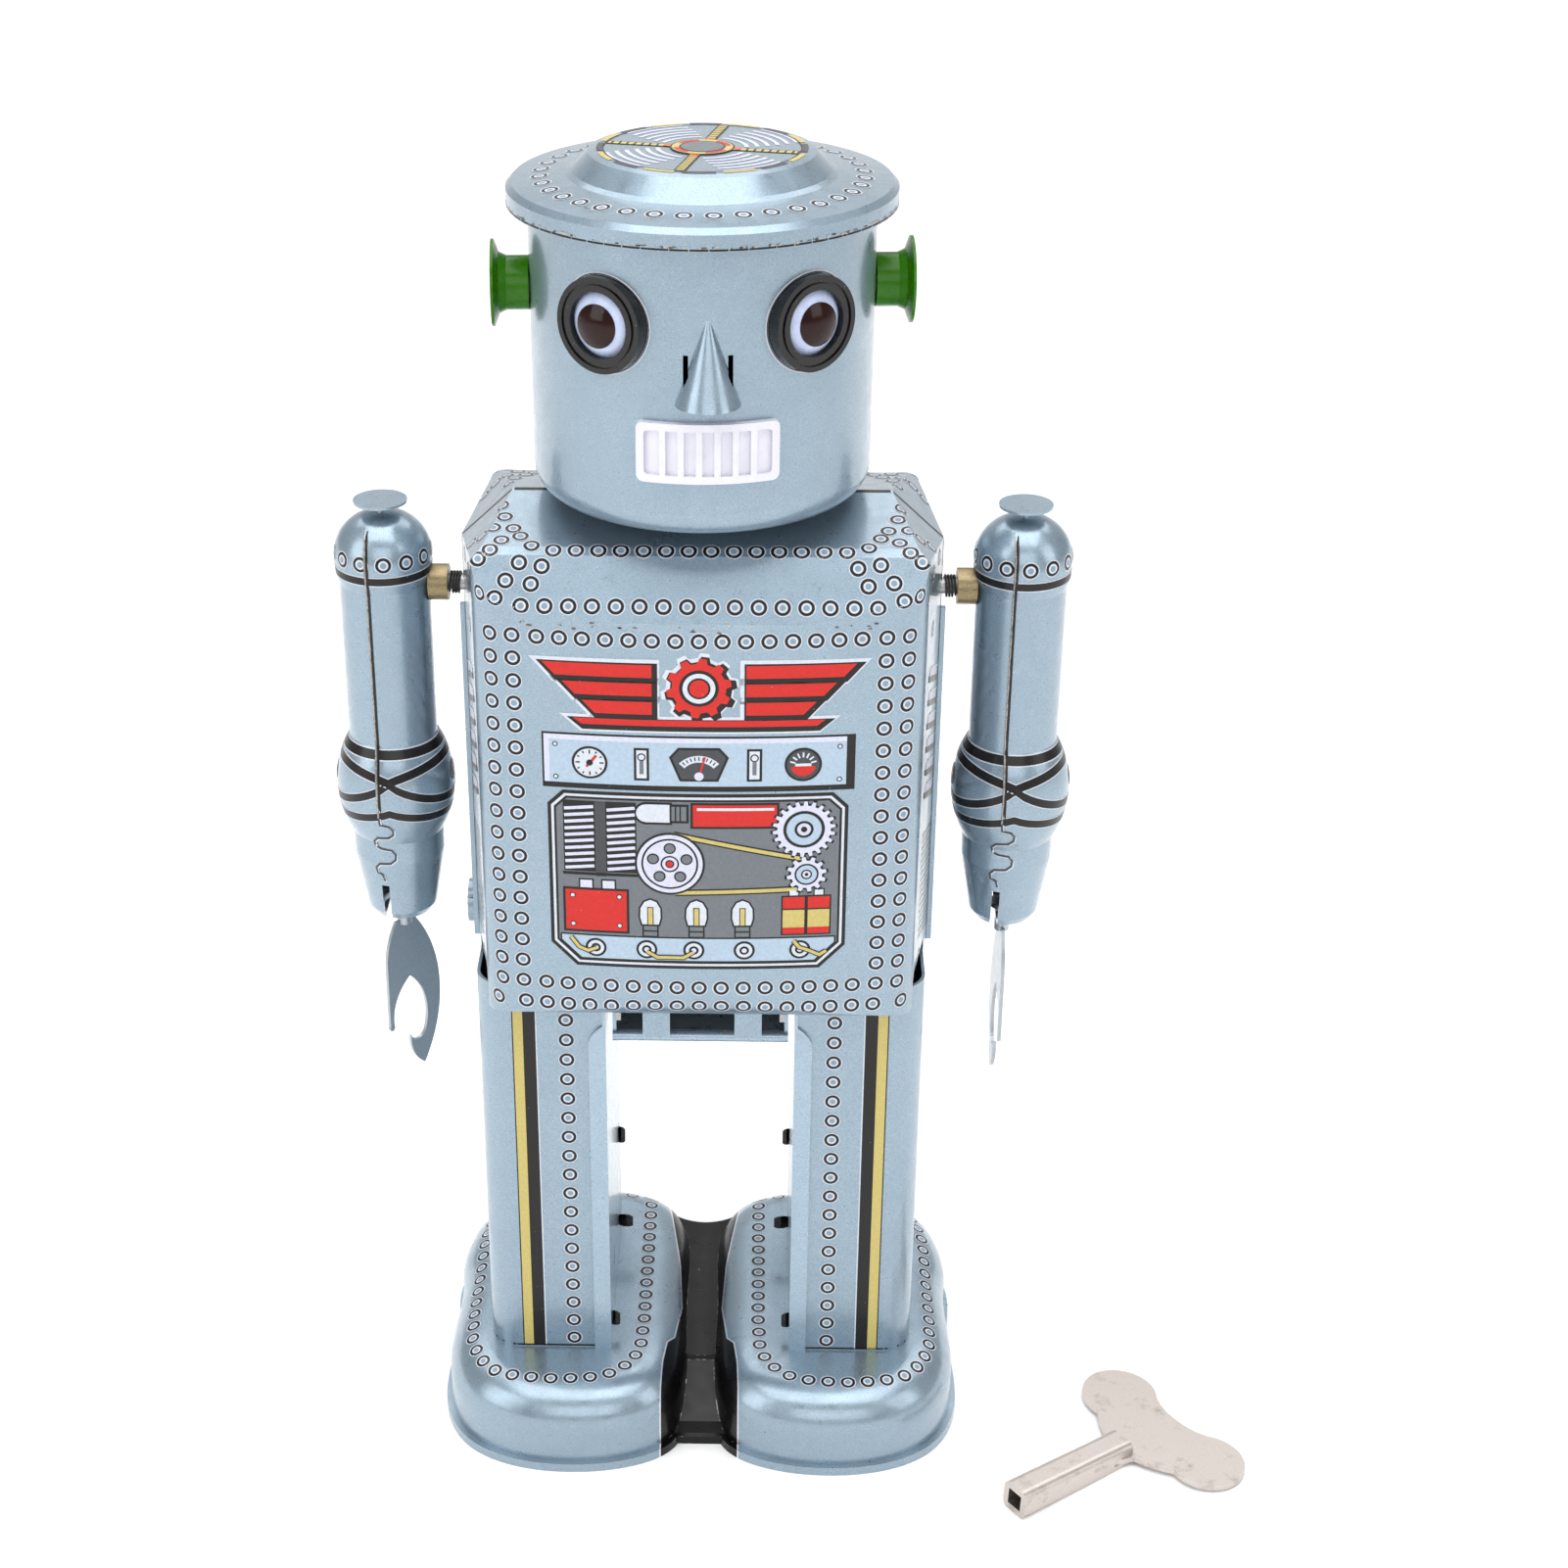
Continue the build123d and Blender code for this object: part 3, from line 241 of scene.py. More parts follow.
# light and dark tone, roughness, stretch of the grain, tarnish
METALS = {
    "collar_brass": ((164, 150, 118), (104, 90, 64), 0.32, (1, 4, 4), (84, 66, 42)),
    "gear_brass": ((206, 180, 116), (158, 128, 70), 0.34),
    "spring_steel": ((74, 72, 72), (36, 34, 35), 0.3),
    "bar_steel": ((186, 186, 184), (128, 128, 128), 0.3, (1, 6, 6)),
    "plate_steel": ((190, 192, 194), (140, 142, 146), 0.36, (1, 1, 5), (110, 96, 82)),
    "key_steel": ((214, 206, 200), (182, 174, 168), 0.34, (6, 1, 1), (150, 140, 132)),
    "bright_edge": ((198, 196, 190), (96, 88, 80), 0.34, (1, 1, 1), (84, 66, 52)),
}
INK_TONES = {
    "black": (22, 19, 18), "white": (206, 212, 222), "red": (200, 34, 26), "yellow": (196, 180, 108),
    "lilac": (206, 208, 226), "pale": (170, 190, 208), "shade": (132, 152, 168), "grey": (108, 114, 120),
    "dark": (66, 68, 72), "orange": (206, 104, 46), "chip": (186, 178, 166), "rust": (112, 92, 74),
}
materials = {name: lacquered_tin(name, *look) for name, look in TINS.items()}
materials.update({name: moulded(name, *look) for name, look in PLASTICS.items()})
materials.update({name: bare_metal(name, *look) for name, look in METALS.items()})
inks = {name: ink(f"ink_{name}", srgb(*tone)) for name, tone in INK_TONES.items()}
INK_NAMES = list(inks)

for part in frame["record"]["subparts"]:
    node = frame["nodes"][part["node"]]
    node.data.materials.clear()
    node.data.materials.append(materials[part["material_slot"]])
foot_tin = lacquered_tin("foot_tin", *TINS["body_tin"], saddle=True)
frame["nodes"]["foot_base"].data.materials[0] = foot_tin
for side_name in SIDES:
    frame["nodes"][f"eye_dome_{side_name}"].data.materials[0] = materials["eye_white"]


# -------- ink laid on the tin
FILM = 0.04  # first layer above the tin
LAYER = 0.02  # each later layer above the one below
RIVET_BANDS = ((0.48, "shade"), (0.76, "white"), (1.22, "black"), (1.38, "white"))  # outer radius, ink
RIVET_SIDES = 18


def tangents(normal):
    """Two directions in a surface, square to each other."""
    side = normal.cross(Vector((0, 0, 1)) if abs(normal.z) < 0.9 else Vector((0, 1, 0))).normalized()
    return side, side.cross(normal)


def place(name, data, body, slot):
    """Add a visible piece that rides with a body."""
    piece = bpy.data.objects.new(name, data)
    bpy.context.scene.collection.objects.link(piece)
    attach(piece, body)
    return piece


class Print:
    """Ink on some CAD nodes: every point is dropped on to their surface, and all of it is one mesh."""

    def __init__(self, name, body, nodes):
        self.name, self.body = name, body
        vertices, faces = [], []
        for node in nodes:
            mesh = frame["nodes"][node].data
            first = len(vertices)
            vertices += [v.co / MM for v in mesh.vertices]
            faces += [[first + i for i in f.vertices] for f in mesh.polygons]
        self.surface = BVHTree.FromPolygons(vertices, faces)
        self.vertices, self.faces, self.colours = [], [], []

    def lift(self, spot, normal, layer):
        self.vertices.append(spot + normal * (FILM + LAYER * layer))
        return len(self.vertices) - 1

    def touch(self, point, layer=0):
        """Index of a point moved to the nearest surface."""
        spot, normal, _, _ = self.surface.find_nearest(Vector(point))
        return self.lift(spot, normal, layer)

    def cast(self, origin, direction, layer=0):
        """Index of the point where a ray meets the surface, or None."""
        spot, normal, _, _ = self.surface.ray_cast(Vector(origin), Vector(direction))
        return None if spot is None else self.lift(spot, normal, layer)

    def face(self, corners, colour):
        """One face, turned to look outward; faces with a missing corner are left out."""
        if None in corners:
            return
        a, b, c = (self.vertices[i] for i in corners[:3])
        normal = (b - a).cross(c - a)
        _, outward, _, _ = self.surface.find_nearest(a)
        if normal.dot(outward) < 0:
            corners = corners[::-1]
        self.faces.append(corners)
        self.colours.append(INK_NAMES.index(colour))

    def rivet(self, point):
        """Printed rivet at the surface nearest a point: pale dot in a white ring, black ring, white edge."""
        middle, normal, _, _ = self.surface.find_nearest(Vector(point))
        side, up = tangents(normal)
        turns = [tau * k / RIVET_SIDES for k in range(RIVET_SIDES)]
        previous = [self.touch(middle)] * RIVET_SIDES
        for radius, colour in RIVET_BANDS:
            loop = [self.touch(middle + radius * (cos(t) * side + sin(t) * up)) for t in turns]
            for k in range(RIVET_SIDES):
                n = (k + 1) % RIVET_SIDES
                corners = [previous[k], loop[k], loop[n], previous[n]]
                self.face(corners[:3] if previous[k] == previous[n] else corners, colour)
            previous = loop

    def trail(self, points, across, width, colour, layer=0):
        """Strip of ink along 3-D points, `width` wide in the direction `across`."""
        half = Vector(across).normalized() * width / 2
        pairs = [(self.touch(Vector(p) - half, layer), self.touch(Vector(p) + half, layer)) for p in points]
        for (a, b), (c, d) in zip(pairs, pairs[1:]):
            self.face([a, b, d, c], colour)

    def finish(self):
        """Make the mesh object and let it ride with its body."""
        mesh = bpy.data.meshes.new(self.name)
        mesh.from_pydata([v * MM for v in self.vertices], [], self.faces)
        for material in inks.values():
            mesh.materials.append(material)
        mesh.polygons.foreach_set("material_index", self.colours)
        welded = bmesh.new()
        welded.from_mesh(mesh)
        bmesh.ops.remove_doubles(welded, verts=welded.verts, dist=1e-7)
        bmesh.ops.dissolve_degenerate(welded, dist=1e-7, edges=welded.edges)
        welded.to_mesh(mesh)
        welded.free()
        mesh.shade_smooth()
        place(self.name, mesh, self.body, "body_tin")


def mitre(first, second, limit):
    """Way out of a corner between two unit directions, and the share of it that counts as width."""
    square = Vector((first.y, -first.x))
    out = Vector((first.y + second.y, -first.x - second.x))
    out = out.normalized() if out.length > 1e-6 else square
    return out, max(limit, out.dot(square))


def grown(points, amount):
    """Closed outline moved out by `amount`, corners mitred. Points run anticlockwise."""
    moved = []
    for i, (x, y) in enumerate(points):
        before, after = Vector(points[i - 1]), Vector(points[(i + 1) % len(points)])
        here = Vector((x, y))
        out, share = mitre((here - before).normalized(), (after - here).normalized(), 0.45)
        reach = amount / share
        moved.append((x + out.x * reach, y + out.y * reach))
    return moved


def box(x0, y0, x1, y1):
    """Corners of an upright rectangle."""
    return [(x0, y0), (x1, y0), (x1, y1), (x0, y1)]


def polar(x, y, radius, angle):
    """Point at a radius and an angle in radians from x, y."""
    return x + radius * cos(angle), y + radius * sin(angle)


class Art:
    """Flat drawing laid on a Print. `chart` turns drawing coordinates into a ray origin and direction."""

    def __init__(self, ground, chart, slice_width=2.0):
        self.ground, self.chart, self.slice = ground, chart, slice_width

    def at(self, x, y, layer):
        return self.ground.cast(*self.chart(x, y), layer)

    def poly(self, points, colour, layer):
        """Filled outline, cut into slices so that it bends with the surface."""
        shape = bmesh.new()
        outline = [shape.verts.new((x, y, 0)) for x, y in points]
        shape.faces.new(outline).normal_update()
        bmesh.ops.triangulate(shape, faces=shape.faces[:])
        for axis in (0, 1):
            ends = [p[axis] for p in points]
            step = int(min(ends) // self.slice) + 1
            while step * self.slice < max(ends):
                cut, normal = [0, 0, 0], [0, 0, 0]
                cut[axis], normal[axis] = step * self.slice, 1
                whole = shape.verts[:] + shape.edges[:] + shape.faces[:]
                bmesh.ops.bisect_plane(shape, geom=whole, plane_co=cut, plane_no=normal)
                step += 1
        laid = {v: self.at(v.co.x, v.co.y, layer) for v in shape.verts}
        for f in shape.faces:
            self.ground.face([laid[v] for v in f.verts], colour)
        shape.free()

    def rect(self, x0, y0, x1, y1, colour, layer):
        self.poly(box(x0, y0, x1, y1), colour, layer)

    def disc(self, x, y, radius, colour, layer):
        self.ring(x, y, 0.0, radius, colour, layer)

    def ring(self, x, y, inner, outer, colour, layer, start=0.0, stop=360.0):
        """Ring or part of one, angles in degrees; inner 0 makes a disc."""
        count = max(6, int(outer * 8) + 10)
        count = max(3, int(count * (stop - start) / 360))
        turns = [radians(start + (stop - start) * k / count) for k in range(count + 1)]
        far = [self.at(*polar(x, y, outer, t), layer) for t in turns]
        if inner:
            near = [self.at(*polar(x, y, inner, t), layer) for t in turns]
            for k in range(count):
                self.ground.face([near[k], far[k], far[k + 1], near[k + 1]], colour)
        else:
            middle = self.at(x, y, layer)
            for k in range(count):
                self.ground.face([middle, far[k], far[k + 1]], colour)

    def line(self, points, width, colour, layer):
        """Stroke along points, with mitred corners, cut short enough to follow the surface."""
        dense = [points[0]]
        for (x0, y0), (x1, y1) in zip(points, points[1:]):
            parts = max(1, int(hypot(x1 - x0, y1 - y0) / self.slice))
            dense += [(x0 + (x1 - x0) * k / parts, y0 + (y1 - y0) * k / parts) for k in range(1, parts + 1)]
        rails = []
        for (x, y), before, after in zip(dense, dense[:1] + dense, dense[1:] + dense[-1:]):
            first = Vector((x - before[0], y - before[1]))
            second = Vector((after[0] - x, after[1] - y))
            first = first.normalized() if first.length > 1e-9 else second.normalized()
            second = second.normalized() if second.length > 1e-9 else first
            out, share = mitre(first, second, 0.4)
            reach = width / 2 / share
            rails.append([self.at(x + out.x * way, y + out.y * way, layer) for way in (-reach, reach)])
        for (a, b), (c, d) in zip(rails, rails[1:]):
            self.ground.face([a, b, d, c], colour)

    def outlined(self, points, fill, layer, edge=0.38):
        """Filled outline with a black edge round it."""
        self.poly(grown(points, edge), "black", layer)
        self.poly(points, fill, layer + 1)

    def target(self, x, y, layer, *discs):
        """Discs laid one on another, each (radius, ink)."""
        for step, (radius, colour) in enumerate(discs):
            self.disc(x, y, radius, colour, layer + step)

    def outlined_disc(self, x, y, radius, fill, layer, edge=0.38):
        self.target(x, y, layer, (radius + edge, "black"), (radius, fill))


RAY_START = 80.0  # rays start this far out, clear of the toy
RAY_TOP = 260.0


def facing(direction):
    """Chart for a drawing seen square on: x to the viewer's right, y up (from above: towards +Y)."""
    charts = {
        "front": lambda x, y: ((x, -RAY_START, y), (0, 1, 0)),
        "back": lambda x, y: ((-x, RAY_START, y), (0, -1, 0)),
        "left": lambda x, y: ((-RAY_START, -x, y), (1, 0, 0)),
        "right": lambda x, y: ((RAY_START, x, y), (-1, 0, 0)),
        "above": lambda x, y: ((x, y, RAY_TOP), (0, 0, -1)),
    }
    return charts[direction]


def between(start, end, count):
    """Evenly spaced points from start to end, both included."""
    a, b = Vector(start), Vector(end)
    return [a.lerp(b, k / (count - 1)) for k in range(count)]


# -------- rivets on the body
BOTTOM_ROW, TOP_ROW = 89.4, 147.7
COLUMNS = (27.35, 31.4)
LOW_ROW = 85.7
# (across, depth, height) of the rivets scattered over each shoulder corner
SHOULDER_RIVETS = (
    (24.5, 15.75, 159.05), (26.3, 13.35, 159.5), (27.5, 11.3, 159.9), (29.0, 8.2, 160.5), (29.5, 5.0, 161.0),
    (22.9, 18.45, 156.9), (24.4, 20.1, 154.8), (26.2, 18.1, 157.3), (28.1, 19.8, 155.2), (29.6, 21.4, 153.1),
    (31.9, 20.5, 153.6), (34.0, 16.5, 153.5), (29.0, 14.4, 159.3), (30.5, 16.6, 158.7), (32.2, 17.75, 157.7),
    (34.5, 12.0, 153.6), (30.5, 11.1, 159.95), (32.2, 11.1, 158.55), (34.0, 9.8, 156.9), (35.8, 5.2, 153.4),
)
SIDE_RIVETS = ((36, 10.3, 143.9), (36, 10.6, 85.9))  # above and below the louvres on each side wall


def body_rivets(ground, face):
    """Rivet rows of one body half; face is -1 for the front, 1 for the back."""
    spots = []
    for p in between((0, 0, TOP_ROW), (0, 0, BOTTOM_ROW), 17):
        spots += [(way * x, 23 * face, p.z) for x in COLUMNS for way in (-1, 1)]
    for z in (TOP_ROW, BOTTOM_ROW, LOW_ROW):
        row = between((-COLUMNS[0], 0, z), (COLUMNS[0], 0, z), 17)
        spots += [(p.x, 25 * face, z) for p in (row if z == LOW_ROW else row[1:-1])]
    spots += [(way * COLUMNS[1], 21 * face, LOW_ROW) for way in (-1, 1)]
    # shoulder slope: a row above and a row below, joined by the scattered ones at each end
    for reach, depth, z, count in ((21.3, 16.6, 158.65, 14), (25.8, 22.1, 152.2, 16)):
        spots += [(p.x, depth * face, z) for p in between((-reach, 0, 0), (reach, 0, 0), count)]
    spots += [(way * x, y * face, z) for x, y, z in SHOULDER_RIVETS + SIDE_RIVETS for way in (-1, 1)]
    for spot in spots:
        ground.rivet(spot)


LOUVRE_TOP, LOUVRE_PITCH = 136.6, 3.92
DOTS_BOTTOM = 88.6
# (from, to, points) of the seam line in the seam plane: upright, shoulder slope, top
WALL_SEAM = (
    ((36.5, 84), (36.5, 154.4), 15), ((36.3, 154.8), (28.6, 161.9), 6), ((28.2, 162.1), (7.4, 162.1), 6)
)


def side_wall_print(ground, face):
    """Louvres and dots on both side walls of one body half, and on the front half the dark seam line."""
    for direction, side in SIDES.items():
        wall = Art(ground, facing(direction))
        turn = side * face  # drawing x of a point at y = face * depth
        for step in range(6):
            z = LOUVRE_TOP - LOUVRE_PITCH * step
            run = [(turn * (12.5 - 1.65 * k), z - 0.66 * k) for k in range(8)]
            hood = run[:-1] + [(x, height + 1.9) for x, height in reversed(run[1:-1])]
            wall.poly(hood, "lilac", 0)
            wall.line([(x, height + 2.0) for x, height in run[2:]], 0.3, "white", 1)
            wall.line(run, 0.95, "black", 2)
        for row in range(17):
            for column in range(11):
                z = DOTS_BOTTOM + 1.12 * row + 0.33 * column
                wall.disc(turn * (1.2 + 1.08 * column), z, 0.3, "black", 0)
        if face > 0:
            continue
        for (x0, z0), (x1, z1), count in WALL_SEAM:
            run = between((side * x0, -0.4, z0), (side * x1, -0.4, z1), count)
            ground.trail(run, (0, 1, 0), 0.7, "black")


CHIP_SIDES = 7


def chips(ground, places, spread, seed, count):
    """Small chips in the lacquer scattered round given places, each a ragged spot of bare or rusted tin."""
    dice = random.Random(seed)
    for _ in range(count):
        a, b = dice.choice(places)
        middle = Vector(a).lerp(Vector(b), dice.random())
        middle += Vector([dice.gauss(0, spread) for _ in range(3)])
        spot, normal, _, _ = ground.surface.find_nearest(middle)
        side, up = tangents(normal)
        wide, tall = dice.uniform(0.1, 0.5), dice.uniform(0.07, 0.2)
        colour = dice.choice(("chip", "rust", "chip", "dark"))
        centre = ground.touch(spot, 2)
        edge = []
        for k in range(CHIP_SIDES):
            t = tau * k / CHIP_SIDES
            ragged = dice.uniform(0.55, 1.15)
            corner = spot + side * (wide * ragged * cos(t)) + up * (tall * ragged * sin(t))
            edge.append(ground.touch(corner, 2))
        for k in range(CHIP_SIDES):
            ground.face([centre, edge[k], edge[(k + 1) % CHIP_SIDES]], colour)


# stretches of the body's upper front edges, where the lacquer is chipped
RIDGES = (
    ((-26, -22.5, 149.6), (-8, -24.0, 149.4)),
    ((-8, -24.0, 149.6), (10, -24.0, 149.6)),
    ((14, -24.0, 149.8), (27, -22.5, 149.9)),
    ((28, -21.5, 151.5), (34.5, -14, 154.5)),
    ((-34, -15, 154.5), (-29, -21.5, 151.0)),
    ((35.5, -6, 154.6), (36.5, -0.8, 150)),
)
body_front = Print("body_front_rivets", "robot", ["torso_front"])
body_rivets(body_front, -1)
side_wall_print(body_front, -1)
chips(body_front, RIDGES, 0.35, 11, 90)
body_front.finish()
body_back = Print("body_back_rivets", "robot", ["torso_back"])
body_rivets(body_back, 1)
side_wall_print(body_back, 1)


# -------- chest drawing
chest_ground = Print("chest_drawing", "robot", ["torso_front"])
chest = Art(chest_ground, facing("front"))


def gear_outline(x, y, root, tip, teeth, start=0.0):
    """Square-toothed gear outline."""
    points = []
    for k in range(teeth):
        for part, radius in ((0.0, root), (0.12, tip), (0.48, tip), (0.6, root)):
            points.append(polar(x, y, radius, start + tau * (k + part) / teeth))
    return points


def drawn_gear(art, x, y, root, tip, teeth, layer):
    """Printed gear: black edge, pale body, rings and hub."""
    art.poly(gear_outline(x, y, root + 0.35, tip + 0.35, teeth), "black", layer)
    art.poly(gear_outline(x, y, root, tip, teeth, 0.01), "lilac", layer + 1)
    for inner, outer, colour in ((0.66, 0.78, "black"), (0.36, 0.66, "pale"), (0.26, 0.36, "black")):
        art.ring(x, y, inner * root, outer * root, colour, layer + 2)
    art.disc(x, y, 0.12 * root, "black", layer + 3)


def emblem(art):
    """Winged wheel with an underline: red, black edge and shadow, thin white rim."""
    bars = []
    for bar in range(3):
        high = 143.9 - 2.95 * bar
        low = high - 2.05
        tip = 23.0 - 2.9 * bar
        root = 6.9
        bars.append([(root, low), (tip - 1.9, low), (tip, high), (root, high)])
        bars.append([(-root, high), (-tip, high), (1.9 - tip, low), (-root, low)])
    bars.append([(-17.3, 134.1), (17.3, 134.1), (18.6, 135.1), (-18.6, 135.1)])
    x, y = 0, 140.3
    copies = ((1.0, 0.12, "white"), (0.55, 0.28, "black"), (0.0, 0.0, "red"))
    for layer, (grow, shift, colour) in enumerate(copies):
        for shape in bars:
            moved = [(px + shift, py - shift) for px, py in shape]
            art.poly(grown(moved, grow) if grow else moved, colour, layer)
        art.poly(gear_outline(x + shift, y - shift, 4.0 + grow, 4.8 + grow, 10), colour, layer)
    art.target(x, y, 3, (2.9, "black"), (2.4, "white"), (1.7, "black"), (1.4, "red"))


def control_strip(art):
    """Panel with a dial, two switches, a meter and a gauge."""
    left, right, low, high = -23.0, 21.8, 124.3, 132.2
    art.rect(left - 0.3, low - 0.9, right + 1.3, high + 0.3, "black", 0)
    art.rect(left, low, right, high, "pale", 1)
    art.rect(left, high - 0.8, right, high, "lilac", 2)
    art.rect(left, low, left + 0.8, high, "lilac", 2)
    for x in (left + 1.7, right - 1.0):
        for z in (low + 0.9, high - 1.6):
            art.outlined_disc(x, z, 0.26, "white", 2, 0.16)
    middle = 127.8

    def tick(x, y, angle, inner, outer, width, colour, layer):
        """Radial mark from one radius to another, at an angle in degrees."""
        art.line([polar(x, y, r, radians(angle)) for r in (inner, outer)], width, colour, layer)

    # dial with ticks and a pointer
    art.outlined_disc(-16.2, middle, 2.3, "white", 2)
    for k in range(12):
        tick(-16.2, middle, 30 * k, 1.45 if k % 3 == 0 else 1.75, 2.1, 0.22, "black", 4)
    art.line([(-16.7, middle - 0.7), (-15.2, middle + 1.2)], 0.4, "red", 5)
    art.disc(-16.2, middle, 0.5, "black", 6)
    # two toggle switches
    for x in (-8.5, 8.2):
        art.outlined(box(x - 0.75, 125.5, x + 0.75, 130.1), "white", 2)
        art.rect(x - 0.3, 126.2, x + 0.3, 128.4, "grey", 4)
        art.outlined_disc(x, 129.0, 0.45, "lilac", 4, 0.2)
    # meter
    meter = [(-2.6, 125.5), (2.6, 125.5), (4.0, 129.0), (2.9, 130.3), (-2.9, 130.3), (-4.0, 129.0)]
    art.outlined(meter, "dark", 2)
    art.ring(0, 125.4, 2.9, 4.0, "white", 4, 42, 138)
    for k in range(9):
        tick(0, 125.4, 50 + 10 * k, 3.2, 3.8, 0.18, "black", 5)
    art.line([(0, 125.9), (0.9, 129.2)], 0.3, "red", 6)
    art.disc(0, 126.0, 0.7, "lilac", 6)
    # round gauge with a red half
    art.outlined_disc(15.4, middle, 2.4, "dark", 2)
    art.ring(15.4, middle, 0.0, 1.9, "red", 4, 190, 350)
    for k in range(7):
        tick(15.4, middle, 15 + 25 * k, 1.2, 2.0, 0.26, "white", 4)
    art.rect(14.2, middle - 0.25, 16.6, middle + 0.2, "white", 5)


def octagon(left, right, low, high, top_cut, low_cut):
    """Outline of a box with its corners cut off."""
    return [
        (left + low_cut, low), (right - low_cut, low), (right, low + low_cut), (right, high - top_cut),
        (right - top_cut, high), (left + top_cut, high), (left, high - top_cut), (left, low + low_cut),
    ]


def coil_bank(art, left, right, low, high):
    """Wound coil: slanted pale turns on black."""
    art.rect(left, low, right, high, "black", 4)
    z = low + 0.5
    while z < high - 0.9:
        art.line([(left + 0.2, z), (right - 0.2, z + 0.5)], 0.52, "lilac", 5)
        z += 1.12


def drawn_bulb(art, x, low):
    """Upright bulb with a screw cap."""
    art.outlined(box(x - 1.0, low, x + 1.0, low + 1.7), "grey", 4, 0.25)
    art.line([(x - 1.0, low + 0.85), (x + 1.0, low + 0.85)], 0.25, "black", 6)
    glass = [(-1.25, 2.0), (1.25, 2.0), (1.55, 3.2), (1.5, 4.8), (0.9, 5.9), (0, 6.3)]
    glass += [(-0.9, 5.9), (-1.5, 4.8), (-1.55, 3.2)]
    art.outlined([(x + dx, low + dz) for dx, dz in glass], "white", 4, 0.28)
    art.outlined(box(x - 0.35, low + 2.0, x + 0.35, low + 4.9), "yellow", 6, 0.14)


def machine_window(art):
    """Window on to generic machinery: coils, pulley and belt, gears, bulbs, cells, sockets."""
    left, right, low, high = -22.7, 22.3, 92.8, 123.0
    for layer, inset, colour in ((0, 0.0, "black"), (1, 0.55, "white"), (2, 0.95, "black"), (3, 1.3, "grey")):
        cuts = (2.3 - inset / 2, 3.9 - inset / 2)
        art.poly(octagon(left + inset, right - inset, low + inset, high - inset, *cuts), colour, layer)
    # coils
    coil_bank(art, -20.4, -15.6, 109.4, 121.4)
    coil_bank(art, -14.0, -9.4, 109.4, 121.4)
    art.rect(-15.6, 108.6, -14.0, 121.4, "dark", 4)
    art.line([(-20.6, 109.0), (-9.2, 109.0)], 0.5, "black", 5)
    # lamp lying on its side and a red tube
    art.outlined(box(-7.9, 118.2, -4.4, 121.2), "white", 4)
    art.outlined_disc(-7.9, 119.7, 1.5, "white", 4)
    art.outlined(box(-4.1, 118.5, -1.9, 120.9), "grey", 4)
    for x in (-3.5, -2.8):
        art.line([(x, 118.5), (x, 120.9)], 0.22, "black", 6)
    art.outlined(box(-0.9, 117.6, 11.6, 121.2), "red", 4)
    art.line([(-0.3, 120.5), (11.2, 120.5)], 0.45, "white", 6)
    # gears
    drawn_gear(art, 15.7, 117.0, 4.0, 4.7, 22, 6)
    drawn_gear(art, 16.2, 109.3, 2.35, 3.0, 12, 6)
    # pulley, belt to the small gear
    for start, end in (((-3.8, 116.2), (15.8, 111.9)), ((-3.6, 106.2), (15.8, 106.8))):
        art.line([start, end], 1.1, "black", 4)
        art.line([start, end], 0.6, "yellow", 5)
    x, z = -4.4, 111.2
    art.disc(x, z, 5.3, "black", 6)
    art.ring(x, z, 4.3, 4.95, "lilac", 7)
    art.disc(x, z, 4.0, "lilac", 7)
    for k in range(5):
        art.outlined_disc(*polar(x, z, 2.65, radians(90 + 72 * k)), 0.72, "grey", 8, 0.22)
    art.ring(x, z, 1.15, 1.4, "black", 8)
    art.outlined_disc(x, z, 0.5, "red", 8, 0.2)
    # red box with two terminals
    art.outlined(box(-20.3, 99.2, -11.0, 106.2), "red", 4)
    for bx in (-19.2, -12.1):
        for bz in (100.2, 105.2):
            art.outlined_disc(bx, bz, 0.3, "white", 6, 0.15)
    for bx in (-18.0, -14.6):
        art.outlined(box(bx, 106.6, bx + 1.8, 107.9), "lilac", 4, 0.25)
    # cells
    for bx in (12.7, 16.5):
        art.outlined(box(bx, 99.0, bx + 3.3, 105.4), "yellow", 4, 0.25)
        art.rect(bx, 103.4, bx + 3.3, 105.4, "red", 6)
        art.rect(bx, 99.0, bx + 3.3, 100.1, "red", 6)
        art.line([(bx, 103.3), (bx + 3.3, 103.3)], 0.25, "black", 7)
        art.outlined(box(bx + 1.0, 105.7, bx + 2.3, 106.6), "white", 4, 0.2)
    # socket strip, wires and bulbs
    art.outlined(octagon(-21.0, 20.6, 94.3, 98.2, 0.01, 3.0), "pale", 4, 0.25)
    for bx in (-7.4, -0.4, 6.6):
        drawn_bulb(art, bx, 98.6)
    for bx in (-15.8, -8.0, -0.8, 6.9, 15.4):
        art.outlined_disc(bx, 96.2, 1.25, "white", 6)
        art.target(bx, 96.2, 8, (0.75, "black"), (0.4, "lilac"))
    for wire in (
        [(-19.6, 97.9), (-18.4, 96.2), (-17.0, 95.6), (-15.6, 96.2)],
        [(-8.0, 95.9), (-6.4, 94.9), (-2.4, 94.9), (-0.8, 95.9)],
        [(14.4, 97.8), (15.3, 96.6), (16.4, 96.2), (18.4, 95.2), (19.4, 95.9)],
    ):
        art.line(wire, 0.85, "black", 10)
        art.line(wire, 0.5, "yellow", 11)


emblem(chest)
control_strip(chest)
machine_window(chest)
chest_ground.finish()

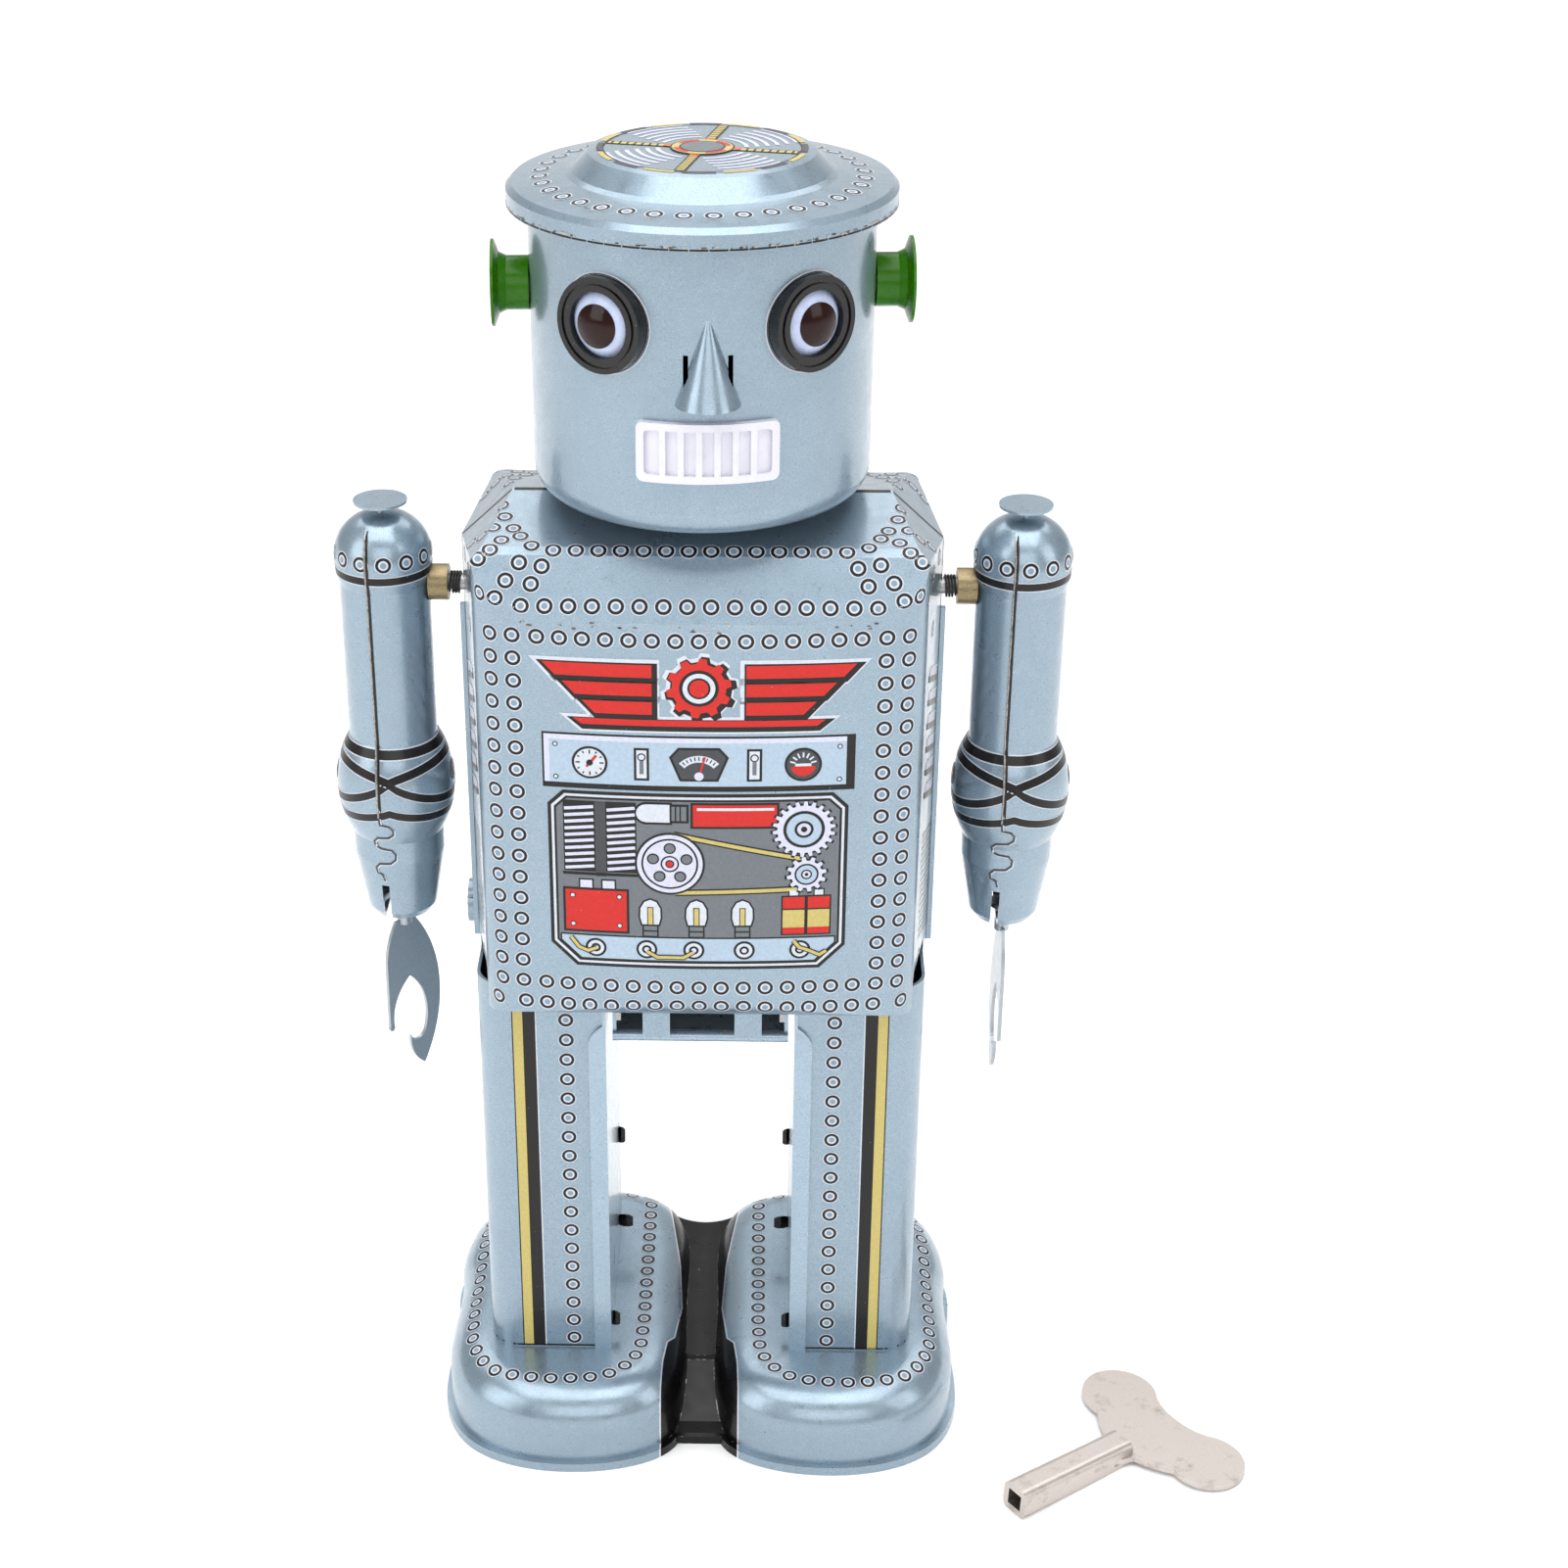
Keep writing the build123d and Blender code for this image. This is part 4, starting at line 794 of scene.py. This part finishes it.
# plain print on the back: a framed panel of slots under three round vents
rear = Art(body_back, facing("back"))
for layer, inset, colour in ((0, 0.0, "black"), (1, 0.5, "white"), (2, 0.8, "black"), (3, 1.1, "pale")):
    rear.poly(octagon(inset - 19, 19 - inset, 100 + inset, 136 - inset, 3.0, 3.0), colour, layer)
for step in range(7):
    z = 104.0 + 2.7 * step
    rear.line([(-13.5, z), (13.5, z)], 1.1, "black", 4)
    rear.line([(-13.5, z - 0.8), (13.5, z - 0.8)], 0.4, "lilac", 4)
VENT_Z = 129.0
for x in (-11.0, 0.0, 11.0):
    rear.outlined_disc(x, VENT_Z, 3.1, "white", 4)
    rear.ring(x, VENT_Z, 2.2, 2.5, "black", 6)
    rear.disc(x, VENT_Z, 1.2, "red" if x == 0 else "grey", 6)
    rear.ring(x, VENT_Z, 1.2, 1.45, "black", 6)
body_back.finish()


# -------- head and cap
HEAD_TURN = 3.0
EYE_Z = 194.0
EYE_ANGLE = 35.0
BEZEL_R = 6.82


def towards(angle):
    """Level direction at `angle` degrees from the front, positive to the right."""
    return Vector((sin(radians(angle)), -cos(radians(angle)), 0))


head_print = Print("head_halos", "robot", ["head_drum"])
for angle in (-EYE_ANGLE, EYE_ANGLE):
    out = towards(angle + HEAD_TURN)
    level = towards(angle + HEAD_TURN + 90)

    def eye_chart(x, y, out=out, level=level):
        return out * 60 + level * x + Vector((0, 0, EYE_Z + y)), -out

    halo = Art(head_print, eye_chart)
    halo.ring(0, 0, BEZEL_R + 0.06, BEZEL_R + 0.2, "black", 0)
    halo.ring(0, 0, BEZEL_R + 0.2, BEZEL_R + 0.42, "white", 0)
head_print.finish()

CAP_R, SKIRT_Z = 28.0, 206.15
RIM_ROW_R, RIM_ROW_Z = 23.1, 209.4
cap_print = Print("cap_print", "robot", ["cap"])
for step in range(36):
    a = radians(5 + 10 * step)
    cap_print.rivet((RIM_ROW_R * sin(a), -RIM_ROW_R * cos(a), RIM_ROW_Z))
turns = [radians(6 * k) for k in range(61)]
skirt = [Vector((CAP_R * sin(a), -CAP_R * cos(a), SKIRT_Z)) for a in turns]
cap_print.trail(skirt, (0, 0, 1), 0.28, "black")
skirt_edge = [p + Vector((0, 0, 0.35)) for p in skirt]
chips(cap_print, list(zip(skirt_edge, skirt_edge[1:])), 0.07, 5, 240)
chips(cap_print, [((-16, -18, 209.2), (-14, -20, 209.1))], 0.3, 8, 8)


def spoke_bar(angle, near, far, near_half, far_half):
    """Corners of a bar that runs outward at `angle` degrees, from its two radii and half widths."""
    t = radians(angle)
    along, aside = Vector((cos(t), sin(t))), Vector((-sin(t), cos(t)))
    ends = ((near, -near_half), (far, -far_half), (far, far_half), (near, near_half))
    return [tuple(along * reach + aside * half) for reach, half in ends]


def cap_drawing(art):
    """Round target: hub, four ladder spokes, fine arcs between them, and a border of alternate bars."""
    turn = -12.0
    for k in range(4):
        start = turn + 90 * k
        for step in range(6):
            radius = 6.0 + 1.5 * step
            reach = 62 - 4.5 * step
            art.ring(0, 0, radius, radius + 0.62, "lilac", 0, start + 45 - reach / 2, start + 45 + reach / 2)
    for k in range(16):
        start = turn + 22.5 * k
        art.ring(0, 0, 14.2, 15.0, "yellow" if k % 2 else "dark", 1, start + 2, start + 20.5)
    art.ring(0, 0, 13.95, 14.15, "black", 1)
    for k in range(4):
        angle = turn + 90 * k
        art.poly(spoke_bar(angle, 4.2, 13.9, 0.85, 0.85), "black", 1)
        art.poly(spoke_bar(angle, 4.4, 13.7, 0.6, 0.6), "yellow", 2)
        for step in range(8):
            radius = 5.4 + 1.1 * step
            art.line(spoke_bar(angle, radius, radius, 0.6, 0.6)[1:3], 0.3, "black", 3)
        art.poly(spoke_bar(angle, 3.6, 5.6, 1.1, 0.5), "orange", 4)
    art.target(0, 0, 5, (4.6, "black"), (4.35, "yellow"), (3.3, "black"), (3.05, "grey"))
    for k in range(4):
        start = turn + 90 * k + 20
        art.ring(0, 0, 3.35, 4.1, "red", 7, start, start + 50)


cap_drawing(Art(cap_print, facing("above")))
cap_print.finish()


# -------- arms
ARM_X = 48.6
ARM_SEAM = -1.8  # seam plane from the arm's own axis
ELBOW_Z = 114.8
DOME_FOOT, TUBE_END, CUFF_TOP = 151.8, 121.6, 104.8
DOME_R = 7.5
# (height, radius) down the tube of the arm
TUBE = ((DOME_FOOT, DOME_R), (148.6, 7.3), (147.2, 6.9), (140, 6.9), (130, 6.9), (TUBE_END, 6.9))
# (height in front, lift at the sides, width) of the lines round an arm
ARM_LINES = ((149.5, 0, 1.2), (120.6, 0, 1.35), (116.4, 2.3, 1.35), (116.2, -4.6, 1.35), (111.2, -2.2, 1.35))


def arm_radius(z):
    """Radius of the arm at a height: dome, tube, elbow, cuff."""
    if z >= DOME_FOOT:
        return DOME_R * sqrt(max(0.0, 1 - ((z - DOME_FOOT) / 6.4) ** 2))
    if z >= TUBE_END:
        for (high, r0), (low, r1) in zip(TUBE, TUBE[1:]):
            if low <= z <= high:
                return r0 + (r1 - r0) * (high - z) / (high - low)
    if z >= CUFF_TOP:
        return 9.25 - 2.2 * ((z - 113.4) / 8.4) ** 2
    return 7.2 - 1.7 * (CUFF_TOP - z) / 13.6


def seam_depth(z):
    """Distance of the arm's surface in front of its axis, in the seam plane."""
    return sqrt(max(0.0, arm_radius(z) ** 2 - ARM_SEAM**2))


def arm_print(side_name, side, first_rivet):
    """Rivets, lines, elbow dots and the printed joint of one arm; first_rivet is an angle in degrees."""
    centre = side * ARM_X
    shells = [f"arm_{side_name}_inner_shell", f"arm_{side_name}_outer_shell"]
    ground = Print(f"arm_{side_name}_print", f"arm_{side_name}", shells)
    for k in range(13):
        out = towards(first_rivet + 360 / 13 * k)
        ground.rivet(Vector((centre, 0, 152.2)) + out * DOME_R)
    # chart round the arm: x is the angle in degrees from the front, y the height
    art = Art(ground, lambda x, y: (Vector((centre, 0, y)) + towards(x) * 25, -towards(x)), 360)
    turns = [7.5 * k for k in range(49)]
    for grow, colour, layer in ((0.36, "white", 0), (0.0, "black", 1)):
        for base, lift, width in ARM_LINES:
            heights = [base + lift * abs(sin(radians(t))) ** 0.8 for t in turns]
            half = (width + grow) / 2
            lower = [art.at(t, z - half, layer) for t, z in zip(turns, heights)]
            upper = [art.at(t, z + half, layer) for t, z in zip(turns, heights)]
            for k in range(len(turns) - 1):
                ground.face([lower[k], lower[k + 1], upper[k + 1], upper[k]], colour)
    for direction in ("left", "right"):
        Art(ground, facing(direction)).target(0, ELBOW_Z, 2, (1.75, "white"), (1.55, "black"), (1.05, "red"))
    # dark gap beside the seam's lip
    for face in (-1, 1):
        rows = [156.6 - 1.08 * k for k in range(44)]
        gap = [(centre + ARM_SEAM + 0.28, face * seam_depth(z), z) for z in rows]
        ground.trail(gap, (1, 0, 0), 0.42, "black", 3)
    # interlocking tabs of the forearm seam
    tabs = [(0, 110.4), (0.1, 109.0)]
    for base in (107.2, 102.2):
        tabs += [(1.5, base + 1.5), (2.1, base + 0.8), (2.0, base - 0.2), (1.2, base - 0.9)]
        tabs += [(-0.6, base - 1.1), (-1.2, base - 1.9), (-1.0, base - 2.9), (-0.2, base - 3.3)]
    tabs.append((0.1, 97.8))
    for direction, sign in (("front", 1), ("back", -1)):
        fore = Art(ground, facing(direction), 0.6)
        path = [(sign * (centre + ARM_SEAM) + sign * x, z) for x, z in tabs]
        fore.line([(x + 0.16, z - 0.14) for x, z in path], 0.34, "white", 2)
        fore.line(path, 0.3, "dark", 3)
    ground.finish()


arm_print("left", -1, 7.8)
arm_print("right", 1, 3.4)


def capped_mesh(name, shape, loops, material):
    """Close both ends of a skinned strip and make it a mesh."""
    shape.faces.new(loops[0])
    shape.faces.new(list(reversed(loops[-1])))
    bmesh.ops.recalc_face_normals(shape, faces=shape.faces[:])
    mesh = bpy.data.meshes.new(name)
    shape.to_mesh(mesh)
    shape.free()
    mesh.materials.append(materials[material])
    return mesh


LIP_SECTION = ((-0.5, 0.0), (-0.42, 0.7), (-0.12, 1.0), (0.12, 0.92), (0.42, 0.66), (0.5, 0.0))
LIP_WIDTH, LIP_HEIGHT = 0.4, 0.28


def seam_lip(name, body, points):
    """Folded lip of sheet along a seam: a thin strip with a rounded, slightly uneven crest."""
    shape = bmesh.new()
    loops = []
    for i, (point, out) in enumerate(points):
        uneven = 1 + 0.18 * sin(i * 2.3) + 0.12 * sin(i * 5.1 + 1)
        across = Vector((1, 0, 0))
        loop = []
        for a, b in LIP_SECTION:
            corner = Vector(point) + across * a * LIP_WIDTH + out * (b * LIP_HEIGHT * uneven - 0.1)
            loop.append(shape.verts.new(corner * MM))
        loops.append(loop)
    for first, second in zip(loops, loops[1:]):
        for k in range(len(LIP_SECTION) - 1):
            shape.faces.new((first[k], second[k], second[k + 1], first[k + 1]))
    mesh = capped_mesh(name, shape, loops, "bright_edge")
    mesh.shade_smooth()
    place(name, mesh, body, "body_tin")


for side_name, side in SIDES.items():
    for label, face in FACES.items():
        points = []
        for z in [157.0 - 1.1 * k for k in range(44)]:
            radius = arm_radius(z)
            if radius > abs(ARM_SEAM) + 0.3:
                depth = face * seam_depth(z)
                out = Vector((ARM_SEAM, depth, 0)) / radius
                points.append(((side * ARM_X + ARM_SEAM, depth, z), out))
        seam_lip(f"arm_{side_name}_seam_{label}", f"arm_{side_name}", points)


# -------- shoulder springs
SHOULDER_Z = 146.7
COIL_TURNS, COIL_STEPS, COIL_R, WIRE_R = 3.6, 110, 1.62, 0.18

# turns of wire round the axle, between body and collar
for side_name, side in SIDES.items():
    curve = bpy.data.curves.new(f"spring_wire_{side_name}", "CURVE")
    curve.dimensions = "3D"
    curve.bevel_depth = WIRE_R * MM
    curve.bevel_resolution = 4
    curve.use_fill_caps = True
    spline = curve.splines.new("POLY")
    spline.points.add(COIL_STEPS)
    for k in range(COIL_STEPS + 1):
        angle = tau * COIL_TURNS * k / COIL_STEPS
        x = side * (36.9 + 1.6 * k / COIL_STEPS)
        height = SHOULDER_Z + COIL_R * sin(angle)
        spline.points[k].co = (x * MM, COIL_R * cos(angle) * MM, height * MM, 1)
    curve.materials.append(materials["spring_steel"])
    piece = place(f"spring_wire_{side_name}", curve, "robot", "spring_steel")
    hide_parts(f"shoulder_spring_{side_name}")


# -------- legs
# height of the painted contact shadow round the bottom of each leg
CONTACT_SHADOW_Z = 14.35
STRIPE_BOTTOM, STRIPE_TOP = 14.2, 84.0
# (outer edge, inner edge, ink) of the stripes down the front and back of each leg
STRIPES = ((29.95, 29.75, "black"), (29.75, 28.2, "yellow"), (28.2, 26.2, "black"), (26.2, 26.0, "white"))

# stripes and a rivet row on the front and back of each leg, and a painted contact shadow: a dark line round
# its foot where it meets the foot base
for side_name, side in SIDES.items():
    ground = Print(f"leg_{side_name}_print", "robot", [f"leg_{side_name}_shell"])
    for direction, face in FACES.items():
        art = Art(ground, facing(direction), 6.0)
        turn = -side * face
        for outer, inner, colour in STRIPES:
            left, right = sorted((turn * outer, turn * inner))
            art.rect(left, STRIPE_BOTTOM, right, STRIPE_TOP, colour, 0)
        for spot in between((side * 21.3, face * 17.5, 79.1), (side * 21.3, face * 17.5, 16.0), 18):
            ground.rivet(spot)
    # painted shadow: a black line round the leg just above the foot base stands for the shade where the two
    # meet
    corners = ((15.4, -17.5), (31.6, -17.5), (33.6, -16.8), (34.9, -15.5), (35.6, -13.5), (35.6, 13.5))
    corners = [(side * x, y, CONTACT_SHADOW_Z) for x, y in corners]
    contact_shadow_line = between(*corners[:2], 12) + corners[2:4] + between(*corners[4:], 8)
    ground.trail(contact_shadow_line, (0, 0, 1), 0.32, "black")
    ground.finish()


LEG_WALL = 15.0  # the inner plates stand this far from the middle
# (depth, height, reach, length) of the lugs that come through each inner plate
LUGS = ((12.0, 37.2, 1.2, 2.9), (9.0, 21.0, 2.5, 2.2), (-14.0, 17.6, 1.3, 2.5))


def twisted_lug(name, side, depth, height, reach, length):
    """Tab in dark steel colour that comes through the inner plate and is twisted a quarter turn to lock it.
    """
    shape = bmesh.new()
    loops = []
    for step in range(9):
        way = step / 8
        turn = radians(80 * min(1, 1.6 * way))
        half = length / 2 * (0.72 + 0.28 * min(1, 2 * way)) * (1 - 0.25 * max(0, way - 0.8) / 0.2)
        along = Vector((0, cos(turn), sin(turn)))
        across = Vector((0, -sin(turn), cos(turn))) * 0.16
        middle = Vector((side * LEG_WALL + side * (0.7 - (reach + 0.7) * way), depth, height - 0.3 * way))
        wide = half * along
        corners = (-wide - across, wide - across, wide + across, across - wide)
        loops.append([shape.verts.new((middle + c) * MM) for c in corners])
    for first, second in zip(loops, loops[1:]):
        for k in range(4):
            n = (k + 1) % 4
            shape.faces.new((first[k], first[n], second[n], second[k]))
    place(name, capped_mesh(name, shape, loops, "spring_steel"), "robot", "spring_steel")


for side_name, side in SIDES.items():
    for number, lug in enumerate(LUGS):
        twisted_lug(f"leg_{side_name}_lug_{number + 1}", side, *lug)


# -------- foot base
# the line of rivets round one shoe, from above, and the distance between rivets
SHOE_LINE = (
    (9.8, 26.5), (9.8, 18), (9.8, 4), (9.8, -10), (10.1, -17), (11.4, -21.2), (14.6, -24.2), (19, -25.6),
    (25, -25.8), (30.5, -25.2), (34.6, -23.4), (37.5, -20), (38.9, -15), (39.3, -8), (39.3, 4), (39.3, 14),
    (38.4, 20), (36, 23.6), (31, 26.2), (24, 26.8), (16, 26.6), (9.8, 26.5),
)
SHOE_STEP = 3.3

# a row of rivets round both shoes
shoe_print = Print("foot_print", "robot", ["foot_base"])
for side in SIDES.values():
    points = [Vector((side * x, y)) for x, y in SHOE_LINE]
    travelled = 0.0
    for a, b in zip(points, points[1:]):
        length = (b - a).length
        while travelled < length:
            p = a.lerp(b, travelled / length)
            spot = shoe_print.surface.ray_cast(Vector((p.x, p.y, 60)), Vector((0, 0, -1)))[0]
            if spot is not None:
                shoe_print.rivet(spot)
            travelled += SHOE_STEP
        travelled -= length
shoe_print.finish()


# -------- camera, floor and light
scene = bpy.context.scene
PITCH, YAW = radians(26.96), radians(1.2)  # downward and to the left, solved from the photo
camera_data = bpy.data.cameras.new("photo_camera")
camera_data.sensor_width = 36.0
camera_data.lens = 60.44
camera_data.shift_x = 0.052
camera_data.clip_start, camera_data.clip_end = 0.01, 20.0
camera = bpy.data.objects.new("photo_camera", camera_data)
camera.location = Vector((7.8, -371.9, 301.6)) * MM
look = Vector((-sin(YAW) * cos(PITCH), cos(YAW) * cos(PITCH), -sin(PITCH)))
camera.rotation_mode = "QUATERNION"
camera.rotation_quaternion = look.to_track_quat("-Z", "Y")
scene.collection.objects.link(camera)
scene.camera = camera


# pale studio floor, level round the object and far behind it, then swept up
LEVEL_END, SWEEP_R = 2.2, 1.2
shape = bmesh.new()
rows = [(-3.0, 0.0), (LEVEL_END, 0.0)]
for k in range(1, 11):
    rows.append((LEVEL_END + SWEEP_R * sin(radians(9 * k)), SWEEP_R - SWEEP_R * cos(radians(9 * k))))
rows.append((LEVEL_END + SWEEP_R, 4.0))
loops = [[shape.verts.new((x, y, z - 0.00002)) for x in (-4.0, 0.0, 4.0)] for y, z in rows]
for first, second in zip(loops, loops[1:]):
    for k in range(2):
        shape.faces.new((first[k], first[k + 1], second[k + 1], second[k]))
mesh = bpy.data.meshes.new("studio_floor")
shape.to_mesh(mesh)
shape.free()
mesh.shade_smooth()
s = Shader("studio_paper", Roughness=0.75)
tone = s.ramp(s.noise(60.0, 3.0), 0.3, 0.7)
mesh.materials.append(s.use(Base_Color=s.mix(tone, (0.93, 0.93, 0.93, 1), (0.95, 0.95, 0.95, 1))))
piece = bpy.data.objects.new("studio_floor", mesh)
scene.collection.objects.link(piece)

# name, place, target, width, height, power
LIGHTS = (
    ("overhead_softbox", (0.0, -0.15, 1.25), (0, 0, 0.1), 1.3, 1.1, 13.5),
    ("left_softbox", (-1.1, -0.7, 0.7), (0, 0, 0.1), 0.8, 1.1, 7.0),
    ("right_softbox", (1.2, -0.6, 0.75), (0, 0, 0.1), 0.7, 1.0, 4.5),
    ("floor_wash", (0.0, 1.5, 1.9), (0, 1.5, 0.0), 3.4, 1.6, 34.0),
    ("front_fill", (0.1, -1.4, 0.75), (0, 0, 0.1), 1.2, 0.8, 5.5),
)
for name, spot, target, width, height, power in LIGHTS:
    data = bpy.data.lights.new(name, "AREA")
    data.shape = "RECTANGLE"
    data.size, data.size_y = width, height
    data.energy = power
    lamp = bpy.data.objects.new(name, data)
    lamp.location = spot
    lamp.rotation_mode = "QUATERNION"
    lamp.rotation_quaternion = (Vector(target) - Vector(spot)).to_track_quat("-Z", "Y")
    scene.collection.objects.link(lamp)

world = bpy.data.worlds.new("studio_world")
world.use_nodes = True
backdrop = world.node_tree.nodes["Background"].inputs
backdrop["Color"].default_value = (1.0, 1.0, 1.0, 1.0)
backdrop["Strength"].default_value = 0.35
scene.world = world
scene.view_settings.view_transform = "Standard"
